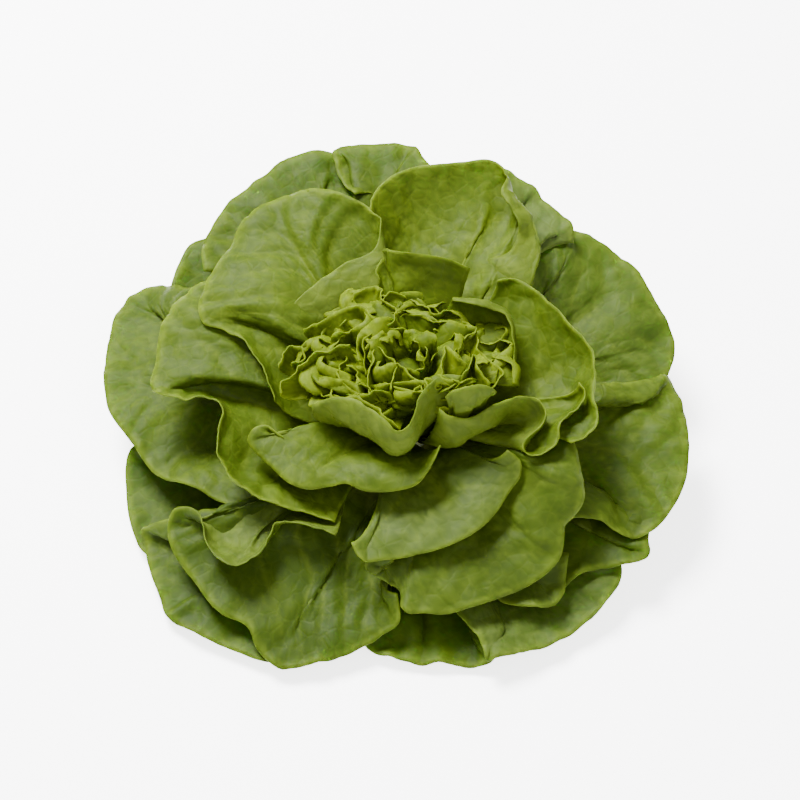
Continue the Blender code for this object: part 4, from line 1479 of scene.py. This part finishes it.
@dataclass
class Body:
    """Closed blades gathered for one mesh, with what colours them."""

    points: list[np.ndarray] = field(default_factory=list)
    faces: list[np.ndarray] = field(default_factory=list)
    leaf: list[np.ndarray] = field(default_factory=list)
    tone_and_light: list[np.ndarray] = field(default_factory=list)
    count: int = 0

    def add_blade(self, grid: np.ndarray, relief: Relief, seed: int, tone_and_light: tuple[float, float]) -> None:
        """Adds one blade.

        Args:
            grid: Its middle surface.
            relief: Its surface detail.
            seed: Seed of its noise.
            tone_and_light: Its lightness and waxiness, partly its own and partly painted light and shade.
        """
        rows, columns = grid.shape[:2]
        inner, outer, vein, hollow_shade = relief.shaped(grid, seed)
        size = rows * columns
        index = np.arange(size).reshape(rows, columns)
        a, b = index[:-1, :-1].ravel(), index[1:, :-1].ravel()
        c, d = index[1:, 1:].ravel(), index[:-1, 1:].ravel()
        top = np.stack([a, b, c, d], 1)
        ring = np.concatenate([index[0, :], index[1:, -1], index[-1, -2::-1], index[-2:0:-1, 0]])
        after = np.roll(ring, -1)
        sides = np.stack([ring, after, after + size, ring + size], 1)
        self.points += [inner.reshape(-1, 3), outer.reshape(-1, 3)]
        self.faces.append(np.concatenate([top, top[:, ::-1] + size, sides]) + self.count)
        v = np.broadcast_to(np.linspace(0.0, 1.0, rows)[:, None], (rows, columns))
        u = np.broadcast_to(np.linspace(-1.0, 1.0, columns)[None, :], (rows, columns))
        edge = np.maximum(smooth_step(v, 0.955, 1.0), smooth_step(np.abs(u), 0.985, 1.0) * v)
        for under in (0.0, 1.0):
            self.leaf.append(np.stack([v, vein, np.full(v.shape, under), edge], 2).reshape(-1, 4))
            tone_and_shade_rows = [np.full(v.shape, tone_and_light[0]), np.full(v.shape, tone_and_light[1]), hollow_shade, np.ones(v.shape)]
            self.tone_and_light.append(np.stack(tone_and_shade_rows, 2).reshape(-1, 4))
        self.count += 2 * size

    def add_shell(self, points: np.ndarray, faces: np.ndarray, tone_and_light: tuple[float, float]) -> None:
        """Adds a plain closed shell of four-cornered faces.

        Args:
            points: Its points.
            faces: Its faces.
            tone_and_light: Its lightness and waxiness. The shell also gets the full painted shade of the
                hollows.
        """
        self.points.append(points)
        self.faces.append(faces + self.count)
        self.leaf.append(np.tile([0.5, 0.0, 0.0, 0.0], (len(points), 1)))
        # The shell is given the full painted shade of the hollows
        self.tone_and_light.append(np.tile([tone_and_light[0], tone_and_light[1], 1.0, 1.0], (len(points), 1)))
        self.count += len(points)

    def made(self, name: str) -> bpy.types.Object:
        """The gathered blades as an object in the scene.

        Args:
            name: The piece's name.

        Returns:
            The object.
        """
        points = np.concatenate(self.points).astype(np.float32)
        faces = np.concatenate(self.faces).astype(np.int32)
        mesh = bpy.data.meshes.new(name)
        mesh.vertices.add(len(points))
        mesh.vertices.foreach_set("co", points.ravel())
        mesh.loops.add(faces.size)
        mesh.loops.foreach_set("vertex_index", faces.ravel())
        mesh.polygons.add(len(faces))
        mesh.polygons.foreach_set("loop_start", np.arange(0, faces.size, 4, dtype=np.int32))
        mesh.update(calc_edges=True)
        mesh.polygons.foreach_set("use_smooth", np.ones(len(faces), bool))
        for title, rows in (("leaf", self.leaf), ("tone_and_light", self.tone_and_light)):
            layer = mesh.attributes.new(title, "FLOAT_COLOR", "POINT")
            layer.data.foreach_set("color", np.concatenate(rows).astype(np.float32).ravel())
        mesh.validate()
        made = bpy.data.objects.new(name, mesh)
        bpy.context.scene.collection.objects.link(made)
        return made


def hand_over(piece: bpy.types.Object, node: str, material: bpy.types.Material) -> None:
    """Dresses a piece and lets it stand for its node.

    Args:
        piece: The finished piece.
        node: The node it replaces.
        material: Its finish.
    """
    piece.data.materials.append(material)
    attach(piece, "root")
    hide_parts(node)
    log.info("%s: %d faces", piece.name, len(piece.data.polygons))


@dataclass
class LooseLeaves:
    """The outer and wrapper leaves, each a piece of its own."""

    cell: float = 0.0018
    most_columns: int = 128
    most_rows: int = 64
    fewest: int = 24
    outer_relief: Relief = Relief()
    wrapper_relief: Relief = Relief(undulation=0.0018, blister=0.0009, ruffle=0.0014)
    tones_and_light: dict[str, tuple[float, float]] = field(default_factory=lambda: dict(TONES_AND_LIGHT))
    pieces: dict[str, bpy.types.Object] = field(default_factory=dict)

    def root_heights(self) -> dict[str, float]:
        """Height at which each blade leaves the stem: just above those whose clasp it overlaps.

        Returns:
            A height for each blade's name.
        """
        heights: dict[str, float] = {}
        for leaf in LEAVES:
            height = STEM.first_root
            for other in LEAVES:
                if other.name not in heights:
                    continue
                apart = abs((leaf.azimuth - other.azimuth + 180) % 360 - 180)
                if apart < leaf.clasp + other.clasp + STEM.spare_turn:
                    height = max(height, heights[other.name] + STEM.root_step)
            heights[leaf.name] = height
        return heights

    def build(self, room: Room) -> None:
        """Makes every leaf, outermost first, and leaves them in the room for the heart to clear.

        Args:
            room: The room that holds the placed blades.
        """
        heights = self.root_heights()
        for number, leaf in enumerate(LEAVES):
            knots = leaf.knots()
            height = heights[leaf.name]
            plain = leaf.loft(knots, height, leaf.columns, leaf.rows)
            bent = room.cleared(plain)
            room.place(bent)
            rim = np.linalg.norm(np.diff(bent[-1], axis=0), axis=1).sum()
            length = np.linalg.norm(np.diff(bent, axis=0), axis=2).sum(0).mean()
            columns = int(np.clip(rim / self.cell, self.fewest, self.most_columns))
            rows = int(np.clip(length / self.cell, self.fewest, self.most_rows))
            fine = leaf.loft(knots, height, columns, rows) + resampled(bent - plain, rows, columns)
            wrapper = leaf.name.startswith("wrapper")
            body = Body()
            relief = self.wrapper_relief if wrapper else self.outer_relief
            body.add_blade(fine, relief, number + 1, self.tones_and_light.get(leaf.name, (0.0, 0.0)))
            self.pieces[leaf.name] = body.made(leaf.name + "_blade")

    def dress(self, outer: bpy.types.Material, wrapper: bpy.types.Material) -> None:
        """Gives each leaf its finish and lets it stand for its node.

        Args:
            outer: The outer leaves' finish.
            wrapper: The wrapper leaves' finish.
        """
        for name, piece in self.pieces.items():
            inner = name.startswith("wrapper")
            hand_over(piece, name, wrapper if inner else outer)


SmallBlade = tuple[Leaf, np.ndarray, float, int]


@dataclass(frozen=True)
class HeartRule:
    """How one set of small blades is set out round the heart's middle, by the golden angle.

    The share s of the way out gives the distance `inner` plus `spread` times s to `power`. The
    rim's top falls with the square of the distance, and dips a little at the very middle.
    """

    count: int
    seed: int
    inner: float
    spread: float
    power: float
    half_turn: float
    half_loss: float
    reach_wave: float
    top: float
    dip: float
    end_drop: float
    height_wave: float
    lips: tuple[float, ...]
    lip_wave: float
    curl: float
    curl_growth: float
    root_height: float
    crumpled: bool = False
    turn_play: float = 25.0
    half_play: tuple[float, float] = (0.6, 1.1)
    reach_play: float = 0.0014
    centre: tuple[float, float] = (-0.002, 0.006)
    root_centre: tuple[float, float] = (-0.001, 0.004)
    root_radius: float = 0.006
    wider: float = 1.12
    front_limit: float = -0.0165
    fall: float = 6.5
    dip_radius: float = 0.008
    golden_turn: float = 137.5
    knots: int = 6
    columns: int = 6

    def blades(self) -> list[SmallBlade]:
        """Makes the set.

        Returns:
            Each blade with its knots, root height and columns.
        """
        chance = np.random.default_rng(self.seed)
        made = []
        for i in range(self.count):
            share = (i + 0.5) / self.count
            radius = self.inner + self.spread * share**self.power
            azimuth = i * self.golden_turn
            half = self.half_turn - self.half_loss * share
            if self.crumpled:
                azimuth += chance.uniform(-self.turn_play, self.turn_play)
                half *= chance.uniform(*self.half_play)
            turn = np.radians(azimuth + np.linspace(-half, half, self.knots))
            wave = chance.uniform(-1.0, 1.0, (4 if self.crumpled else 3, self.knots))
            reach = radius * (1 + self.reach_wave * wave[0])
            if self.crumpled:
                reach = reach + self.reach_play * wave[3]
            top = self.top - self.fall * radius**2 - self.dip * np.exp(-((radius / self.dip_radius) ** 2))
            lip = chance.choice(self.lips) if self.crumpled else self.lips[0]
            edge = np.linspace(-1.0, 1.0, self.knots) ** 2
            rim = np.stack(
                [
                    self.centre[0] + self.wider * reach * np.cos(turn),
                    np.maximum(self.centre[1] + reach * np.sin(turn), self.front_limit),
                    top - self.end_drop * edge + self.height_wave * wave[1],
                    lip + self.lip_wave * wave[2],
                    np.full(self.knots, self.curl + self.curl_growth * radius) / MM,
                ],
                1,
            )
            blade = Leaf(
                "small",
                azimuth,
                (),
                clasp=half,
                rise=60.0,
                push=0.4,
                root_radius=min(0.002 + 0.45 * radius, self.root_radius),
                root_centre=self.root_centre,
            )
            made.append((blade, rim, self.root_height, self.columns))
        return made


# The same small blades as the solid's
FILL = HeartRule(
    count=11,
    seed=12,
    inner=0.004,
    spread=0.036,
    power=0.62,
    half_turn=75.0,
    half_loss=38.0,
    reach_wave=0.14,
    top=0.0745,
    dip=0.0015,
    end_drop=0.005,
    height_wave=0.0022,
    lips=(100.0,),
    lip_wave=35.0,
    curl=0.006,
    curl_growth=0.1,
    root_height=0.050,
)

# More of them, which lean and curl every way
CRUMPLE = HeartRule(
    count=36,
    seed=21,
    inner=0.003,
    spread=0.037,
    power=0.60,
    half_turn=60.0,
    half_loss=34.0,
    reach_wave=0.20,
    top=0.0768,
    dip=0.0012,
    end_drop=0.006,
    height_wave=0.0024,
    lips=(25.0, 45.0, 140.0, 160.0),
    lip_wave=45.0,
    curl=0.010,
    curl_growth=0.14,
    root_height=0.052,
    crumpled=True,
)


@dataclass
class Heart:
    """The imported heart: many small blades round a core, in one piece."""

    root_centre: tuple[float, float] = (-0.001, 0.004)
    root_radius: float = 0.006
    root_height: float = 0.046
    rise: float = 55.0
    clasp: float = 35.0
    rows: int = 4
    fine_columns: int = 41
    fine_rows: int = 19
    tone_seed: int = 21
    tone_play: float = 0.5
    first_seed: int = 200
    passes: int = 24
    samples_per_cell: int = 2
    core_radii: tuple[float, float] = (0.0240, 0.0060)
    core_tip: float = 0.0005
    core_heights: tuple[float, float] = (0.0300, 0.0640)
    core_lean: tuple[float, float] = (-0.002, 0.007)
    core_levels: int = 9
    core_sides: int = 32
    core_skew: float = 1.3
    core_tone: tuple[float, float] = (-0.3, 0.0)
    relief: Relief = Relief(
        undulation=0.0034,
        swell=0.0014,
        blister=0.0014,
        ruffle=0.0034,
        scale=0.55,
        rib_height=0.0010,
    )
    body: Body = field(default_factory=Body)

    def hand_blades(self) -> list[SmallBlade]:
        """The blades that the photograph shows, with their knots, root heights and columns.

        Returns:
            Each blade with its knots, root height and columns.
        """
        made = []
        for blade in HEART_BLADES:
            blade = replace(
                blade,
                rise=self.rise,
                clasp=self.clasp,
                root_radius=self.root_radius,
                root_centre=self.root_centre,
            )
            made.append((blade, blade.knots(), self.root_height, blade.columns))
        return made

    def build(self, room: Room) -> bpy.types.Object:
        """Makes the heart inside the wrapper leaves of the room.

        Args:
            room: The room that holds every loose leaf.

        Returns:
            The heart.
        """
        chance = np.random.default_rng(self.tone_seed)
        blades = self.hand_blades() + FILL.blades() + CRUMPLE.blades()
        quick = Room(placed=room.placed, passes=self.passes, samples_per_cell=self.samples_per_cell)
        for number, (blade, knots, height, columns) in enumerate(blades):
            plain = blade.loft(knots, height, columns, self.rows)
            bend = quick.cleared(plain) - plain
            fine = blade.loft(knots, height, self.fine_columns, self.fine_rows)
            fine = fine + resampled(bend, self.fine_rows, self.fine_columns)
            tone_and_light = (float(chance.uniform(-self.tone_play, self.tone_play)), 0.0)
            self.body.add_blade(fine, self.relief, self.first_seed + number, tone_and_light)
        self.add_core()
        return self.body.made("heart_leaves")

    def add_core(self) -> None:
        """Adds the core that the small blades stand on, as rings closed at both ends."""
        levels, sides = self.core_levels, self.core_sides
        share = np.linspace(0.0, 1.0, levels)
        big, small = self.core_radii
        radius = small + (big - small) * np.sin(math.pi * share**self.core_skew)
        radius[[0, -1]] = self.core_tip
        angle = np.linspace(0.0, 2 * math.pi, sides, endpoint=False)
        height = self.core_heights[0] + (self.core_heights[1] - self.core_heights[0]) * share
        x = self.core_lean[0] * share[:, None] + radius[:, None] * np.cos(angle)
        y = self.core_lean[1] * share[:, None] + radius[:, None] * np.sin(angle)
        z = np.broadcast_to(height[:, None], x.shape)
        points = np.stack([x, y, z], 2).reshape(-1, 3)
        index = np.arange(levels * sides).reshape(levels, sides)
        a, b = index[:-1].ravel(), np.roll(index, -1, axis=1)[:-1].ravel()
        c, d = np.roll(index, -1, axis=1)[1:].ravel(), index[1:].ravel()
        faces = [np.stack([a, b, c, d], 1)]
        i = np.arange(sides // 2 - 1)
        for ring, flip in ((index[0], True), (index[-1], False)):
            cap = np.stack([ring[i], ring[i + 1], ring[sides - 2 - i], ring[sides - 1 - i]], 1)
            faces.append(cap[:, ::-1] if flip else cap)
        self.body.add_shell(points, np.concatenate(faces), self.core_tone)


@dataclass(frozen=True)
class StemFinish:
    """The stem's pale flesh, a little brown and damp where it was cut."""

    flesh: Colour = (0.560, 0.600, 0.330)
    cut: Colour = (0.420, 0.300, 0.160)
    ring: Colour = (0.600, 0.560, 0.330)
    glow_spread: Colour = (1.0, 0.9, 0.4)
    roughness: float = 0.55
    grain_scale: float = 260.0
    cut_height: tuple[float, float] = (0.0004, 0.0022)
    cut_radius: tuple[float, float] = (0.006, 0.0135)

    def build(self) -> bpy.types.Material:
        """Makes the material."""
        material = bpy.data.materials.new("stem")
        material.use_nodes = True
        tree = material.node_tree
        shader = tree.nodes["Principled BSDF"]
        place = tree.nodes.new("ShaderNodeTexCoord").outputs["Object"]
        split = tree.nodes.new("ShaderNodeSeparateXYZ")
        tree.links.new(place, split.inputs["Vector"])
        x, y, z = (Wire(tree, split.outputs[i]) for i in range(3))
        far = (x * x + y * y).power(0.5)
        noise = tree.nodes.new("ShaderNodeTexNoise")
        noise.inputs["Scale"].default_value = self.grain_scale
        noise.inputs["Detail"].default_value = 5.0
        tree.links.new(place, noise.inputs["Vector"])
        grain = Wire(tree, noise.outputs["Fac"])
        low = 1.0 - z.between(*self.cut_height)
        rings = (far + (grain - 0.5) * 0.002).between(*self.cut_radius)
        cut = rings.mixed(self.ring, self.cut)
        colour = (low * (grain * 0.5 + 0.6)).clipped().mixed(self.flesh, cut)
        tree.links.new(colour.socket, shader.inputs["Base Color"])
        shader.inputs["Roughness"].default_value = self.roughness
        shader.inputs["Subsurface Weight"].default_value = 0.25
        shader.inputs["Subsurface Radius"].default_value = self.glow_spread
        shader.inputs["Subsurface Scale"].default_value = 0.003
        bump = tree.nodes.new("ShaderNodeBump")
        bump.inputs["Strength"].default_value = 0.5
        bump.inputs["Distance"].default_value = 0.0005
        tree.links.new(grain.socket, bump.inputs["Height"])
        tree.links.new(bump.outputs["Normal"], shader.inputs["Normal"])
        return material

    def dress(self) -> None:
        """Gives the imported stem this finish."""
        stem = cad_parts["stem"]
        material = self.build()
        for place in stem.material_slots:
            place.material = material
        log.info("stem: %d faces", len(stem.data.polygons))


def main() -> None:
    """Builds the leaves, the heart, the stem's finish and the studio."""
    logging.basicConfig(level=logging.INFO, format="%(name)s %(message)s")
    VIEW.add_camera()
    Studio().build()
    room = Room()
    leaves = LooseLeaves()
    leaves.build(room)
    leaves.dress(Finish.OUTER.value.build(), Finish.WRAPPER.value.build())
    heart = Heart().build(room)
    hand_over(heart, "heart", Finish.HEART.value.build())
    StemFinish().dress()


if __name__ == "__main__":
    main()
